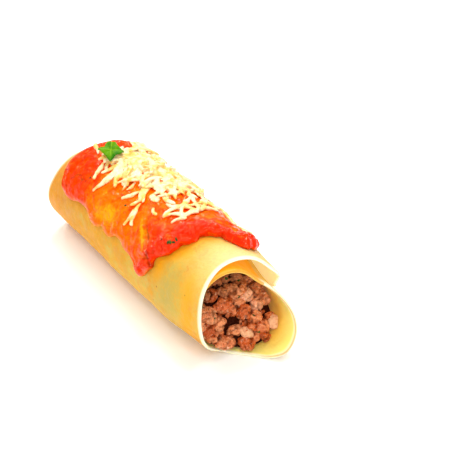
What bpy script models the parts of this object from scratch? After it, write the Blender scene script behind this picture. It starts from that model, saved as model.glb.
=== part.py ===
"""Rolled crepe filled with minced meat, under tomato sauce, grated cheese and a parsley leaf.

Metres, +Z up. The roll lies along Y on z = 0, with its shown open end at -Y. A roll angle is
measured from +X, counter-clockwise as seen from that end. The crepe is one sheet, wound clockwise
from an inner end inside the top left, round once, and over the top again to a flap at the right.
A turn is the angle wound since the inner end.
"""

import math
import random

import bmesh
import bpy
from mathutils import Matrix, Vector, noise

# Driving dimensions of the roll
ROLL_RADIUS = 0.021
AXIS_Z = 0.0203
SHEET = 0.0012
LAYER_GAP = 0.00045
PIECE_GAP = 0.0003
INNER_END = math.radians(145)
LOWER_ROUNDNESS = 2.08
LEVELLED = 0.0003
UNEVENNESS = 0.0003
SHEET_GRID = (60, 12)
MIDDLE_RADIUS = ROLL_RADIUS - SHEET / 2
LAYER_STEP = SHEET + LAYER_GAP

# The one full round grows by a layer's step between these turns, later away from the mouth
MERGE_TURNS = (math.radians(118), math.radians(185))
MERGE_DELAY = math.radians(34)
MERGE_REACH = 0.025

# The flap: angle of its front and rear corners, how much lower its edge lies between them, how
# quickly it gets there, and the span over which it rises from the layer beneath
FLAP_CORNER = math.radians(9)
FLAP_DROP = math.radians(22)
FLAP_SQUARENESS = 0.38
FLAP_RISE = math.radians(15)
FLAP_Y = (-0.0510, 0.0515)

# Shift that puts the origin under the middle of the whole, with the sauce's overhang
TO_ORIGIN = (0.0017, 0.0003, 0.0)

# The two rims of the sheet: (turn in degrees, place along the roll)
FRONT_RIM = (
    (0, -0.0525), (100, -0.0550), (126, -0.0562), (160, -0.0625), (190, -0.0668), (204, -0.0660),
    (232, -0.0565), (254, -0.0505), (290, -0.0540), (320, -0.0574), (345, -0.0570), (390, -0.0520),
    (412, -0.0517), (450, -0.0535), (478, -0.0532), (493, -0.0510),
)
REAR_RIM = (
    (0, 0.0480), (100, 0.0500), (160, 0.0545), (225, 0.0660), (310, 0.0622), (350, 0.0578),
    (378, 0.0552), (404, 0.0512), (440, 0.0498), (493, 0.0515),
)

# At the mouth the layers sink inwards: depth, middle, half width, reach along Y
MOUTH_Y = -0.0550
INNER_SAG = (0.0062, math.radians(46), math.radians(78), 0.036)
FLAP_SAG = (0.0015, math.radians(42), math.radians(32), 0.024)
MOUTH_PINCH = (0.0024, math.radians(-150), math.radians(75), 0.030)

# Filling: each end is a slanted face with crumbs on it: (middle, slope along X, slope along Z,
# twist of the slope along X below the axis)
FRONT_FACE = (-0.0465, 0.25, 0.38, 40.0)
REAR_FACE = (0.0500, 0.0, -0.22, 0.0)
CRUMB_RADII = (0.0021, 0.0036)
FINE_CRUMB = 0.0028
CRUMB_CROWDING = 0.72
CRUMB_UNEVENNESS = 0.32
FILLING_GAP = PIECE_GAP + 0.0002
CORE_INSET = 0.0004
FRONT_CRUMBS = 38
REAR_CRUMBS = 12

# Sauce: its edges and drips
SAUCE_FRONT = (
    (25, -0.0395), (50, -0.0445), (68, -0.0468), (80, -0.0410), (92, -0.0345), (120, -0.0317),
    (140, -0.0282), (160, -0.0245),
)
SAUCE_REAR = ((25, 0.0440), (60, 0.0465), (100, 0.0490), (127, 0.0515), (160, 0.0500))
SAUCE_LEFT = 158.0
SAUCE_RIGHT = 38.0
LEFT_DRIPS = (
    (-0.0165, 0.0044, 21.0), (-0.0035, 0.0040, 6.0), (0.0085, 0.0038, 11.0), (0.0190, 0.0040, 8.0),
    (0.0410, 0.0060, 6.0),
)
RIGHT_DRIPS = (
    (-0.0330, 0.0050, 12.0), (-0.0120, 0.0045, 15.0), (0.0050, 0.0040, 7.0), (0.0210, 0.0050, 13.0),
    (0.0370, 0.0040, 8.0),
)
SAUCE_UNDER = 0.0004
SAUCE_THINNEST = 0.0004
SAUCE_DEPTH = 0.0017
SAUCE_LIP = 0.0016
SAUCE_LIP_WIDTH = 0.0045
SAUCE_EDGE = 0.0022
SAUCE_LUMPS = ((0.00045, 3.2), (0.0003, 6.5))
SAUCE_CORNER = 0.006
SAUCE_GRID = (17, 27)

# Cheese: a low bed along the ridge, with shreds fused on
BED_ANGLES = (math.radians(106), math.radians(60))
BED_Y = (-0.0060, 0.0440)
BED_UNDER = 0.0004
BED_THINNEST = 0.0003
BED_DEPTH = 0.0013
BED_BUMPS = 0.0004
BED_GRID = (7, 11)
SHRED_WIDTH = 0.0018
SHRED_DEPTH = 0.0015
SHRED_LENGTHS = (0.0085, 0.0150)
SHRED_SINK = 0.0003
SHRED_LIFT = 0.0006
UPPER_LAYER = 0.0009
BED_SHREDS = 33
# Single shreds in front of the heap and on the flanks: (roll angle, place along the roll, heading,
# length)
SINGLE_SHREDS = (
    (129, 0.0250, 76, 0.0080), (122, 0.0330, 118, 0.0080), (121, 0.0255, 92, 0.0085),
    (118, 0.0080, 56, 0.0085), (128, -0.0015, 122, 0.0095), (134, -0.0004, 98, 0.0070),
    (115, -0.0084, 166, 0.0060), (104, -0.0135, 105, 0.0080), (103, -0.0170, 40, 0.0090),
    (79, -0.0170, -62, 0.0140), (87, -0.0155, 10, 0.0090), (80, -0.0165, 160, 0.0080),
    (66, -0.0120, 130, 0.0090), (55, -0.0130, 150, 0.0090), (63, -0.0160, 20, 0.0080),
    (58, -0.0260, 172, 0.0120), (56, -0.0370, 165, 0.0090), (45, 0.0120, 140, 0.0100),
    (36, -0.0120, 20, 0.0090), (39, 0.0205, 165, 0.0090), (41, -0.0300, 60, 0.0080),
)
SHRED_APART = 0.0026

# Parsley
LEAF_ANGLE = math.radians(101)
LEAF_Y = 0.0335
LEAF_RADIUS = 0.0053
LEAF_THICKNESS = 0.0005
LEAF_LIFT = 0.0042
LEAF_TILT = math.radians(14)
LEAF_SPIN = math.radians(58)
LEAF_CLEARING = 0.0090
LEAF_SIDES = 28
LEAF_RINGS = 2


def smoothstep(low, high, value):
    """0 below low, 1 above high, smooth between them."""
    part = min(max((value - low) / (high - low), 0.0), 1.0)
    return part * part * (3 - 2 * part)


def curve_through(points, value):
    """Height of a smooth curve through (place, height) points, flat past its ends."""
    if value <= points[0][0]:
        return points[0][1]
    if value >= points[-1][0]:
        return points[-1][1]
    index = next(i for i in range(len(points) - 1) if value <= points[i + 1][0])
    (x0, y0), (x1, y1) = points[index], points[index + 1]
    before = points[max(index - 1, 0)]
    after = points[min(index + 2, len(points) - 1)]
    slope_0 = (y1 - before[1]) / (x1 - before[0])
    slope_1 = (after[1] - y0) / (after[0] - x0)
    span = x1 - x0
    t = (value - x0) / span
    return (
        (2 * t**3 - 3 * t**2 + 1) * y0
        + (t**3 - 2 * t**2 + t) * span * slope_0
        + (3 * t**2 - 2 * t**3) * y1
        + (t**3 - t**2) * span * slope_1
    )


def sag(rule, angle, y):
    """How far a layer sinks at the mouth, by a (depth, middle, half width, reach) rule."""
    depth, middle, half_width, reach = rule
    across = min(abs(math.remainder(angle - middle, math.tau)) / half_width, 1.0)
    along = 1 - smoothstep(MOUTH_Y, MOUTH_Y + reach, y)
    return depth * math.cos(across * math.pi / 2) ** 2 * along


def roll_angle(turn):
    """Roll angle in -180 to 180 degrees, in radians, of a point of the sheet."""
    return math.remainder(INNER_END - turn, math.tau)


def flap_turn(along):
    """Turn at which the sheet ends: its round edge lies lowest midway along the roll."""
    corner = INNER_END - FLAP_CORNER + math.tau
    return corner + FLAP_DROP * max(math.sin(math.pi * along), 0.0) ** FLAP_SQUARENESS


def sheet_radius(turn, y):
    """Distance from the roll's axis to the middle of the sheet, before the lower half is filled out."""
    angle = roll_angle(turn)
    delay = MERGE_DELAY * smoothstep(MOUTH_Y, MOUTH_Y + MERGE_REACH, y)
    inner = 1 - smoothstep(MERGE_TURNS[0] + delay, MERGE_TURNS[1] + delay, turn)
    radius = MIDDLE_RADIUS - LAYER_STEP * inner
    sags = (INNER_SAG,) if turn < math.pi else (MOUTH_PINCH, FLAP_SAG)
    radius -= sum(sag(rule, angle, y) for rule in sags)
    along = min(max((y - FLAP_Y[0]) / (FLAP_Y[1] - FLAP_Y[0]), 0.0), 1.0)
    risen = smoothstep(0.0, FLAP_RISE, flap_turn(along) - turn)
    if risen < 1:
        resting = sheet_radius(turn - math.tau, y) + LAYER_STEP
        radius = resting + (radius - resting) * risen
    return radius


def unevenness(angle, y):
    """Gentle dents and swellings of the whole roll."""
    return UNEVENNESS * math.sin(2 * angle + 55 * y + 0.6) * math.sin(math.pi * y / 0.047 + 0.4)


def around_axis(angle, radius, y, lowest):
    """Point at a roll angle: round above the axis, fuller below it and flat at the bottom."""
    cosine, sine = math.cos(angle), math.sin(angle)
    reach = radius + unevenness(angle, y)
    if sine < 0:
        reach /= (abs(cosine) ** LOWER_ROUNDNESS + abs(sine) ** LOWER_ROUNDNESS) ** (
            1 / LOWER_ROUNDNESS
        )
    return Vector((reach * cosine, y, max(AXIS_Z + reach * sine, lowest)))


def over_roll(angle, y, height):
    """Point at a height above the outside of the roll's upper half."""
    turn = INNER_END - angle + math.tau
    return around_axis(angle, sheet_radius(turn, y) + SHEET / 2 + height, y, 0.0)


def free_radius(angle, y):
    """Distance from the axis to which the filling may reach at a roll angle."""
    turn = (INNER_END - angle) % math.tau
    side = math.radians(9)
    near = (turn, (turn - side) % math.tau, (turn + side) % math.tau)
    return min(sheet_radius(t, y) for t in near) - SHEET / 2 - FILLING_GAP


def link(name, mesh, colour, roughness):
    """Puts a mesh in the scene as a named piece with its own material."""
    material = bpy.data.materials.new(name)
    material.use_nodes = True
    shader = material.node_tree.nodes["Principled BSDF"]
    shader.inputs["Base Color"].default_value = (*colour, 1.0)
    shader.inputs["Roughness"].default_value = roughness
    shader.inputs["Metallic"].default_value = 0.0
    mesh.materials.append(material)
    piece = bpy.data.objects.new(name, mesh)
    bpy.context.collection.objects.link(piece)
    return piece


def mesh_of(name, shape):
    """Turns finished bmesh geometry into a smooth-shaded mesh."""
    bmesh.ops.recalc_face_normals(shape, faces=shape.faces)
    mesh = bpy.data.meshes.new(name)
    shape.to_mesh(mesh)
    shape.free()
    mesh.shade_smooth()
    mesh.set_sharp_from_angle(angle=math.radians(50))
    return mesh


def unit_grid(columns, rows):
    """Flat grid from (0, 0) to (1, 1)."""
    shape = bmesh.new()
    bmesh.ops.create_grid(shape, x_segments=columns, y_segments=rows, size=0.5)
    bmesh.ops.translate(shape, verts=shape.verts, vec=(0.5, 0.5, 0))
    return shape


def thickened_grid(columns, rows):
    """Closed slab one unit thick over a unit grid."""
    shape = unit_grid(columns, rows)
    made = bmesh.ops.extrude_face_region(shape, geom=shape.faces[:], use_keep_orig=True)["geom"]
    raised = [part for part in made if isinstance(part, bmesh.types.BMVert)]
    bmesh.ops.translate(shape, verts=raised, vec=(0, 0, 1))
    return shape


def denser_at_ends(part):
    """Spreads an even 0 to 1 so that it steps finely near both ends."""
    return part + 0.11 * math.sin(math.tau * (part - 0.5))


def fuse(base, shapes, solver):
    """Joins loose shapes to a mesh with one Boolean union, and returns the joined mesh."""
    loose = bpy.data.collections.new("loose_shapes")
    for shape in shapes:
        loose.objects.link(bpy.data.objects.new(shape.name, shape))
    bpy.context.scene.collection.children.link(loose)
    holder = bpy.data.objects.new("holder", base)
    bpy.context.collection.objects.link(holder)
    union = holder.modifiers.new("union", "BOOLEAN")
    union.operation = "UNION"
    union.operand_type = "COLLECTION"
    union.collection = loose
    union.solver = solver
    graph = bpy.context.evaluated_depsgraph_get()
    joined = bpy.data.meshes.new_from_object(holder.evaluated_get(graph))
    for part in (*loose.objects, holder):
        bpy.data.objects.remove(part)
    bpy.data.collections.remove(loose)
    return largest_body(joined)


def largest_body(mesh):
    """Keeps the largest connected body of a mesh and drops loose scraps and sealed hollows."""
    shape = bmesh.new()
    shape.from_mesh(mesh)
    waiting = set(shape.verts)
    bodies = []
    while waiting:
        front = [waiting.pop()]
        body = set(front)
        while front:
            vertex = front.pop()
            near = {edge.other_vert(vertex) for edge in vertex.link_edges} & waiting
            waiting -= near
            body |= near
            front.extend(near)
        bodies.append(body)
    bodies.sort(key=len)
    for scrap in bodies[:-1]:
        bmesh.ops.delete(shape, geom=list(scrap), context="VERTS")
    return mesh_of(mesh.name, shape)


def level_underside(piece):
    """Bakes a piece's modifiers and makes its underside one flat face to rest on."""
    graph = bpy.context.evaluated_depsgraph_get()
    mesh = bpy.data.meshes.new_from_object(piece.evaluated_get(graph))
    piece.modifiers.clear()
    piece.data = mesh
    for vertex in mesh.vertices:
        if vertex.co.z < LEVELLED:
            vertex.co.z = 0.0


def build_crepe():
    """The rolled sheet: a grid wound into a spiral, then given its thickness."""
    shape = unit_grid(*SHEET_GRID)
    for vertex in shape.verts:
        along = vertex.co.y**1.4
        turn = vertex.co.x * flap_turn(along)
        degrees = math.degrees(turn)
        front, rear = curve_through(FRONT_RIM, degrees), curve_through(REAR_RIM, degrees)
        y = front + (rear - front) * along
        vertex.co = around_axis(roll_angle(turn), sheet_radius(turn, y), y, SHEET / 2)
    crepe = link("crepe", mesh_of("crepe", shape), (0.86, 0.60, 0.20), 0.5)
    wall = crepe.modifiers.new("thickness", "SOLIDIFY")
    wall.thickness = SHEET
    wall.offset = 0.0
    wall.use_even_offset = True
    level_underside(crepe)
    return crepe


def on_face(face, x, z):
    """Place along the roll of a slanted end of the filling."""
    middle, per_x, per_z, twist = face
    rise = z - AXIS_Z
    return middle + per_x * x + per_z * rise + twist * x * min(rise, 0.0)


def filling_core():
    """The filling's body: a plug that follows the inside of the roll."""
    shape = bmesh.new()
    bmesh.ops.create_cone(
        shape, cap_ends=True, cap_tris=True, segments=26, radius1=1, radius2=1, depth=1
    )
    long_edges = [e for e in shape.edges if abs(e.verts[0].co.z - e.verts[1].co.z) > 0.5]
    bmesh.ops.subdivide_edges(shape, edges=long_edges, cuts=6)
    for vertex in shape.verts:
        angle = math.atan2(vertex.co.y, vertex.co.x)
        share = math.hypot(vertex.co.x, vertex.co.y)
        along = vertex.co.z + 0.5
        y = FRONT_FACE[0] + (REAR_FACE[0] - FRONT_FACE[0]) * along
        for _ in range(2):
            radius = share * (free_radius(angle, y) - CORE_INSET)
            point = around_axis(angle, radius, y, SHEET + PIECE_GAP)
            front = on_face(FRONT_FACE, point.x, point.z)
            y = front + (on_face(REAR_FACE, point.x, point.z) - front) * along
        point.y = y
        vertex.co = point
    bmesh.ops.triangulate(shape, faces=shape.faces[:])
    return mesh_of("filling", shape)


def kept_inside(point):
    """Moves a point towards the axis until it is clear of the crepe."""
    across = Vector((point.x, 0, point.z - AXIS_Z))
    angle = math.atan2(across.z, across.x)
    limit = around_axis(angle, free_radius(angle, point.y), point.y, SHEET + PIECE_GAP)
    allowed = (limit - Vector((0, point.y, AXIS_Z))).length
    if across.length > allowed:
        across *= allowed / across.length
    return Vector((across.x, point.y, max(across.z + AXIS_Z, SHEET + PIECE_GAP)))


def crumb(centre, radius, draw):
    """One lump of minced meat, uneven all round, the small ones with few sides."""
    shape = bmesh.new()
    finer = 2 if radius > FINE_CRUMB else 1
    bmesh.ops.create_icosphere(shape, subdivisions=finer, radius=radius)
    stretch = Vector((draw.uniform(0.85, 1.25), draw.uniform(0.8, 1.1), draw.uniform(0.8, 1.15)))
    for vertex in shape.verts:
        swell = 1 + CRUMB_UNEVENNESS * noise.noise(vertex.co / radius * 1.1 + centre * 700)
        vertex.co = kept_inside(centre + vertex.co * stretch * swell)
    return mesh_of("crumb", shape)


def crumbs_on(face, count, draw):
    """Lumps spread over an end of the filling, larger ones first and none on top of another."""
    placed = []
    lumps = []
    tries = 0
    while len(lumps) < count and tries < 4000:
        tries += 1
        radius = CRUMB_RADII[1] + (CRUMB_RADII[0] - CRUMB_RADII[1]) * len(lumps) / count
        angle = draw.uniform(-math.pi, math.pi)
        share = math.sqrt(draw.random())
        point = around_axis(angle, free_radius(angle, face[0]) * share, face[0], SHEET)
        centre = kept_inside(point + (Vector((0, 0, AXIS_Z)) - point) * 0.08)
        centre.y = on_face(face, centre.x, centre.z) + draw.uniform(-0.0009, 0.0011)
        if any((centre - other).length < CRUMB_CROWDING * (radius + size) for other, size in placed):
            continue
        placed.append((centre, radius))
        lumps.append(crumb(centre, radius, draw))
    return lumps


def build_filling():
    """Minced meat that runs through the roll, with crumbs at both ends."""
    draw = random.Random(5)
    lumps = crumbs_on(FRONT_FACE, FRONT_CRUMBS, draw) + crumbs_on(REAR_FACE, REAR_CRUMBS, draw)
    joined = fuse(filling_core(), lumps, "MANIFOLD")
    joined.materials.clear()
    return link("filling", joined, (0.33, 0.13, 0.07), 0.45)


def dripping_edge(level, drips, y):
    """Roll angle, in degrees, of a side edge of the sauce at a place along the roll."""
    return level + sum(
        depth * math.exp(-abs((y - middle) / width) ** 2.6) for middle, width, depth in drips
    )


def sauce_grid(across, along):
    """Roll angle and place along the roll for a point of the sauce's grid."""
    reference = SAUCE_LEFT + (SAUCE_RIGHT - SAUCE_LEFT) * across
    front, rear = curve_through(SAUCE_FRONT, reference), curve_through(SAUCE_REAR, reference)
    corner = SAUCE_CORNER * abs(2 * across - 1) ** 6
    y = (front + corner) + (rear - front - 2 * corner) * along
    left = dripping_edge(SAUCE_LEFT, LEFT_DRIPS, y)
    right = SAUCE_RIGHT - dripping_edge(0.0, RIGHT_DRIPS, y)
    return math.radians(left + (right - left) * across), y


def sauce_edge_distances(angle, y):
    """Distances from a point of the sauce to its front edge and to its nearest other edge."""
    degrees = math.degrees(angle)
    front = y - curve_through(SAUCE_FRONT, degrees)
    rear = curve_through(SAUCE_REAR, degrees) - y
    left = dripping_edge(SAUCE_LEFT, LEFT_DRIPS, y) - degrees
    right = degrees - (SAUCE_RIGHT - dripping_edge(0.0, RIGHT_DRIPS, y))
    return front, min(rear, math.radians(min(left, right)) * ROLL_RADIUS)


def sauce_top(angle, y):
    """Height of the sauce's upper face above the crepe."""
    front, other = sauce_edge_distances(angle, y)
    near = min(max(min(front, other), 0.0) / SAUCE_EDGE, 1.0)
    rim = math.sqrt(1 - (1 - near) ** 2)
    place = Vector((math.cos(angle), y / ROLL_RADIUS, math.sin(angle)))
    lumps = sum(height * noise.noise(place * often) for height, often in SAUCE_LUMPS)
    lip = SAUCE_LIP * math.exp(-((front - SAUCE_LIP_WIDTH) / SAUCE_LIP_WIDTH) ** 2)
    return SAUCE_UNDER + SAUCE_THINNEST + rim * (SAUCE_DEPTH - SAUCE_THINNEST + lip + lumps)


def draped(shape, grid, under, over):
    """Lays a closed unit slab on the roll between two heights."""
    for vertex in shape.verts:
        across, along = denser_at_ends(vertex.co.x), denser_at_ends(vertex.co.y)
        angle, y = grid(across, along)
        height = over(across, along) if vertex.co.z > 0.5 else under(angle, y)
        vertex.co = over_roll(angle, y, height)
    bmesh.ops.triangulate(shape, faces=shape.faces[:])


def shred(angle, y, heading, length, lift, bend):
    """One grated strip that follows the roll, bent sideways and thinner at its ends."""
    shape = bmesh.new()
    bmesh.ops.create_cube(shape, size=1)
    long_edges = [e for e in shape.edges if abs(e.verts[0].co.y - e.verts[1].co.y) > 0.5]
    bmesh.ops.subdivide_edges(shape, edges=long_edges, cuts=3)
    for vertex in shape.verts:
        side, part, level = vertex.co
        taper = 1 - 0.45 * (2 * abs(part)) ** 3
        run = part * length
        off = side * SHRED_WIDTH * taper + bend * length * (part**2 - 0.12)
        around = run * math.sin(heading) + off * math.cos(heading)
        place = y + run * math.cos(heading) - off * math.sin(heading)
        at = angle + around / ROLL_RADIUS
        height = lift(at, place, part) + (level + 0.5) * SHRED_DEPTH * taper
        vertex.co = over_roll(at, place, height)
    bmesh.ops.triangulate(shape, faces=shape.faces[:])
    return mesh_of("shred", shape)


def build_sauce():
    """Tomato sauce over the top and flanks, with the single shreds that lie on it."""
    shape = thickened_grid(*SAUCE_GRID)

    def over(across, along):
        return sauce_top(*sauce_grid(across, along))

    draped(shape, sauce_grid, lambda angle, y: SAUCE_UNDER, over)
    shreds = [
        shred(math.radians(at), y, math.radians(heading), length,
              lambda a, p, part: sauce_top(a, p) - SHRED_SINK, 0.12)
        for at, y, heading, length in SINGLE_SHREDS
    ]
    joined = fuse(mesh_of("tomato_sauce", shape), shreds, "MANIFOLD")
    joined.materials.clear()
    return link("tomato_sauce", joined, (0.80, 0.08, 0.01), 0.25)


def bed_grid(across, along):
    """Roll angle and place along the roll for a point of the cheese bed's grid."""
    ends = abs(2 * along - 1) ** 3
    middle = sum(BED_ANGLES) / 2 + 0.06 * math.sin(9 * along)
    half = (BED_ANGLES[0] - BED_ANGLES[1]) / 2 * (1 - 0.35 * ends) * (1 + 0.08 * math.sin(23 * along))
    y = BED_Y[0] + (BED_Y[1] - BED_Y[0]) * (along + 0.02 * math.sin(7 * across))
    return middle + half * (1 - 2 * across), y


def bed_top(across, along):
    """Height of the cheese bed's upper face above the crepe."""
    edge = max(min(across, 1 - across, 3 * along, 3 * (1 - along)), 0.0)
    angle, y = bed_grid(across, along)
    dome = math.sqrt(min(edge / 0.3, 1.0))
    bumps = BED_BUMPS * noise.noise(Vector((angle * 6, y * 300, 2.0)))
    return sauce_top(angle, y) + BED_UNDER + BED_THINNEST + dome * (BED_DEPTH + bumps)


def leaf_spot():
    """Where the parsley lies: its middle and its upright frame."""
    middle = over_roll(LEAF_ANGLE, LEAF_Y, sauce_top(LEAF_ANGLE, LEAF_Y) + LEAF_LIFT)
    lean = Matrix.Rotation(LEAF_TILT, 4, "X") @ Matrix.Rotation(LEAF_SPIN, 4, "Z")
    return middle, lean


def middle_line(angle, y, heading, length):
    """Points along a shred's middle, unrolled to (distance around, place along the roll)."""
    steps = (-0.5, -0.25, 0.0, 0.25, 0.5)
    return [
        (angle * ROLL_RADIUS + part * length * math.sin(heading), y + part * length * math.cos(heading))
        for part in steps
    ]


def clear_of_singles(line):
    """Whether a shred's middle line stays apart from the single shreds."""
    singles = [
        point
        for at, y, heading, length in SINGLE_SHREDS
        for point in middle_line(math.radians(at), y, math.radians(heading), length)
    ]
    return all(math.dist(point, other) > SHRED_APART for point in line for other in singles)


def ridge_shreds(draw):
    """Shreds that cross the cheese bed in two loose layers, low by the leaf, clear of the single ones."""
    made = []
    for index in range(BED_SHREDS):
        across = 0.5 + 0.5 * math.sin(index * 2.4)
        along = (index + 0.5) / BED_SHREDS
        angle, y = bed_grid(0.08 + 0.84 * across, 0.03 + 0.94 * along)
        heading = draw.uniform(-math.pi / 2, math.pi / 2)
        length = draw.uniform(*SHRED_LENGTHS)
        level = 0.0 if index % 2 else UPPER_LAYER
        tip = draw.uniform(-0.0004, 0.0012)
        near_leaf = math.hypot(y - LEAF_Y, (angle - LEAF_ANGLE) * ROLL_RADIUS) < LEAF_CLEARING
        if near_leaf:
            length = SHRED_LENGTHS[0]
            level = 0.0
            tip = 0.0
        if not clear_of_singles(middle_line(angle, y, heading, length)):
            continue

        def lift(at, place, part, level=level, tip=tip):
            return sauce_top(at, place) + SHRED_LIFT + level + tip * (part + 0.5)

        made.append(shred(angle, y, heading, length, lift, draw.uniform(-0.3, 0.3)))
    return made


def build_cheese():
    """Grated cheese heaped along the ridge."""
    shape = thickened_grid(*BED_GRID)
    draped(shape, bed_grid, lambda angle, y: sauce_top(angle, y) + BED_UNDER, bed_top)
    joined = fuse(mesh_of("grated_cheese", shape), ridge_shreds(random.Random(11)), "MANIFOLD")
    joined.materials.clear()
    return link("grated_cheese", joined, (0.90, 0.78, 0.45), 0.45)


def leaf_outline(direction):
    """Radius of the leaf's outline: three notched lobes and, on the fourth side, its stem."""
    lobes = 0.85 + 0.13 * math.cos(4 * direction)
    notches = 0.05 * math.cos(8 * direction)
    stem = 0.20 * math.exp(-((direction - math.pi) / 0.25) ** 2)
    return LEAF_RADIUS * (lobes - notches + stem)


def build_parsley():
    """One torn parsley leaf that leans on the cheese."""
    shape = bmesh.new()
    rings = []
    for ring in range(1, LEAF_RINGS + 1):
        share = ring / LEAF_RINGS
        rings.append([])
        for step in range(LEAF_SIDES):
            direction = math.tau * step / LEAF_SIDES
            reach = share * leaf_outline(direction)
            height = 0.0007 * share * math.cos(3 * direction) + 0.0005 * math.sin(reach * 900)
            rings[-1].append(
                shape.verts.new((reach * math.cos(direction), reach * math.sin(direction), height))
            )
    middle = shape.verts.new((0, 0, 0))
    for step in range(LEAF_SIDES):
        after = (step + 1) % LEAF_SIDES
        shape.faces.new((middle, rings[0][step], rings[0][after]))
        for inner, outer in zip(rings, rings[1:]):
            shape.faces.new((inner[step], outer[step], outer[after], inner[after]))
    bmesh.ops.triangulate(shape, faces=[f for f in shape.faces if len(f.verts) > 3])
    place, lean = leaf_spot()
    bmesh.ops.transform(shape, matrix=Matrix.Translation(place) @ lean, verts=shape.verts)
    leaf = link("parsley_leaf", mesh_of("parsley_leaf", shape), (0.07, 0.32, 0.02), 0.4)
    blade = leaf.modifiers.new("thickness", "SOLIDIFY")
    blade.thickness = LEAF_THICKNESS
    blade.offset = 0.0
    return leaf


def main():
    for old in list(bpy.data.objects):
        bpy.data.objects.remove(old)
    pieces = (build_crepe(), build_filling(), build_sauce(), build_cheese(), build_parsley())
    for piece in pieces:
        piece.data.transform(Matrix.Translation(TO_ORIGIN))


main()
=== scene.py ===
"""Looks of a stuffed crepe: a sheet rolled round minced meat, under sauce, cheese and parsley.

Metres, +Z up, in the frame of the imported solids. The roll lies along Y with its shown open end at
-Y. A roll angle is measured from +X, counter-clockwise as seen from that end. A turn is the angle
wound since the sheet's inner end.
"""

import logging
import math
import random
from collections.abc import Callable
from dataclasses import dataclass, field
from enum import Enum

import bpy
import numpy as np
from mathutils import Matrix, Vector, noise


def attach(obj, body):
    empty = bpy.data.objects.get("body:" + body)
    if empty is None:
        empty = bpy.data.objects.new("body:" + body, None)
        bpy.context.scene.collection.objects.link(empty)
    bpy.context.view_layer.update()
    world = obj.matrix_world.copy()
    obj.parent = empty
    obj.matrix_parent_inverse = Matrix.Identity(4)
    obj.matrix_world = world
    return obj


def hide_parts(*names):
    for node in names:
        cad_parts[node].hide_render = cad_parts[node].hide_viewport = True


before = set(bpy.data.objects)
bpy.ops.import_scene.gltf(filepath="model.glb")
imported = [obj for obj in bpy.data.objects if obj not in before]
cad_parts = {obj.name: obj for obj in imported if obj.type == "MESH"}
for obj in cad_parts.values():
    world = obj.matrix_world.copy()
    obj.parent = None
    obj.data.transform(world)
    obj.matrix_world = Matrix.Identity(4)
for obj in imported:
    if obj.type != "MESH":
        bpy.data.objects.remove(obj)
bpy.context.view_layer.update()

# The roll is modelled round its own axis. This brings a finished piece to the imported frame.
TO_ORIGIN = Vector((0.0017, 0.0003, 0.0))
# Small bits set out from these places, clear of the roll.
START_AHEAD = -0.08
START_ABOVE = 0.06

Piece = bpy.types.Object
Socket = bpy.types.NodeSocket
Material = bpy.types.Material
Numbers = np.ndarray
Colour = tuple[int, int, int]
Span = tuple[float, float]
Curve = tuple[Span, ...]
Triples = tuple[tuple[float, float, float], ...]

log = logging.getLogger("stuffed_crepe")


class Side(Enum):
    """The two ends of the roll."""

    FRONT = "front"
    REAR = "rear"


class Landing(Enum):
    """The way a small bit takes to what carries it: in from ahead of the mouth, or from above."""

    AHEAD = (0.0, 1.0, 0.0)
    ABOVE = (0.0, 0.0, -1.0)

    def start(self, across: float, other: float) -> Vector:
        """Point it sets out from, at a place across and a height or a place along the roll."""
        ahead = self is Landing.AHEAD
        return Vector((across, START_AHEAD, other) if ahead else (across, other, START_ABOVE))


# -------- plain helpers


def smoothstep(low: float, high: float, value: Numbers) -> Numbers:
    """Ramps smoothly from 0 at the low value to 1 at the high one."""
    part = np.clip((np.asarray(value, float) - low) / (high - low), 0.0, 1.0)
    return part * part * (3 - 2 * part)


def curve_through(points: Curve, value: Numbers) -> Numbers:
    """Reads a smooth curve through points, flat past its ends.

    Args:
        points: (place, height) pairs in order.
        value: places to read the curve at.

    Returns:
        The curve's heights.
    """
    places = np.array([point[0] for point in points], float)
    heights = np.array([point[1] for point in points], float)
    value = np.clip(np.asarray(value, float), places[0], places[-1])
    before = np.maximum(np.arange(len(places)) - 1, 0)
    after = np.minimum(np.arange(len(places)) + 1, len(places) - 1)
    slopes = (heights[after] - heights[before]) / (places[after] - places[before])
    index = np.clip(np.searchsorted(places, value) - 1, 0, len(places) - 2)
    span = places[index + 1] - places[index]
    t = (value - places[index]) / span
    return (
        (2 * t**3 - 3 * t**2 + 1) * heights[index]
        + (t**3 - 2 * t**2 + t) * span * slopes[index]
        + (3 * t**2 - 2 * t**3) * heights[index + 1]
        + (t**3 - t**2) * span * slopes[index + 1]
    )


def wrapped(angle: Numbers) -> Numbers:
    """Brings angles, in radians, into half a turn either way."""
    return np.remainder(np.asarray(angle, float) + math.pi, math.tau) - math.pi


def hump(value: Numbers, middle: float, width: float) -> Numbers:
    """Soft hump: 1 at its middle, and gone about two widths away."""
    return np.exp(-(((value - middle) / width) ** 2))


def plateau(value: Numbers, rise: Span, fall: Span) -> Numbers:
    """Ramps from 0 to 1 over the rise, and back to 0 over the fall."""
    return smoothstep(*rise, value) * smoothstep(fall[1], fall[0], value)


def dome(distance: Numbers, reach: float) -> Numbers:
    """Height, 0 to 1, of a round dome at distances from its middle."""
    return np.sqrt(np.clip(1 - (distance / reach) ** 2, 0, 1))


def noise_at(points: Numbers, scale: float) -> Numbers:
    """Smooth noise, about -1 to 1, at points, a number of times finer than a metre."""
    return np.array([noise.noise(Vector(point) * scale) for point in points])


def seed_distance(points: Numbers, scale: float) -> Numbers:
    """Distance from points to the nearest of scattered seeds, at a number of seeds a metre."""
    return np.array([noise.voronoi(Vector(point) * scale)[0][0] for point in points])


def linear(colour: Colour) -> tuple[float, float, float, float]:
    """Turns a display colour of 0 to 255 into the shader's own scale."""
    parts = [part / 255 for part in colour]
    return (*(p / 12.92 if p <= 0.04045 else ((p + 0.055) / 1.055) ** 2.4 for p in parts), 1.0)


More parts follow.
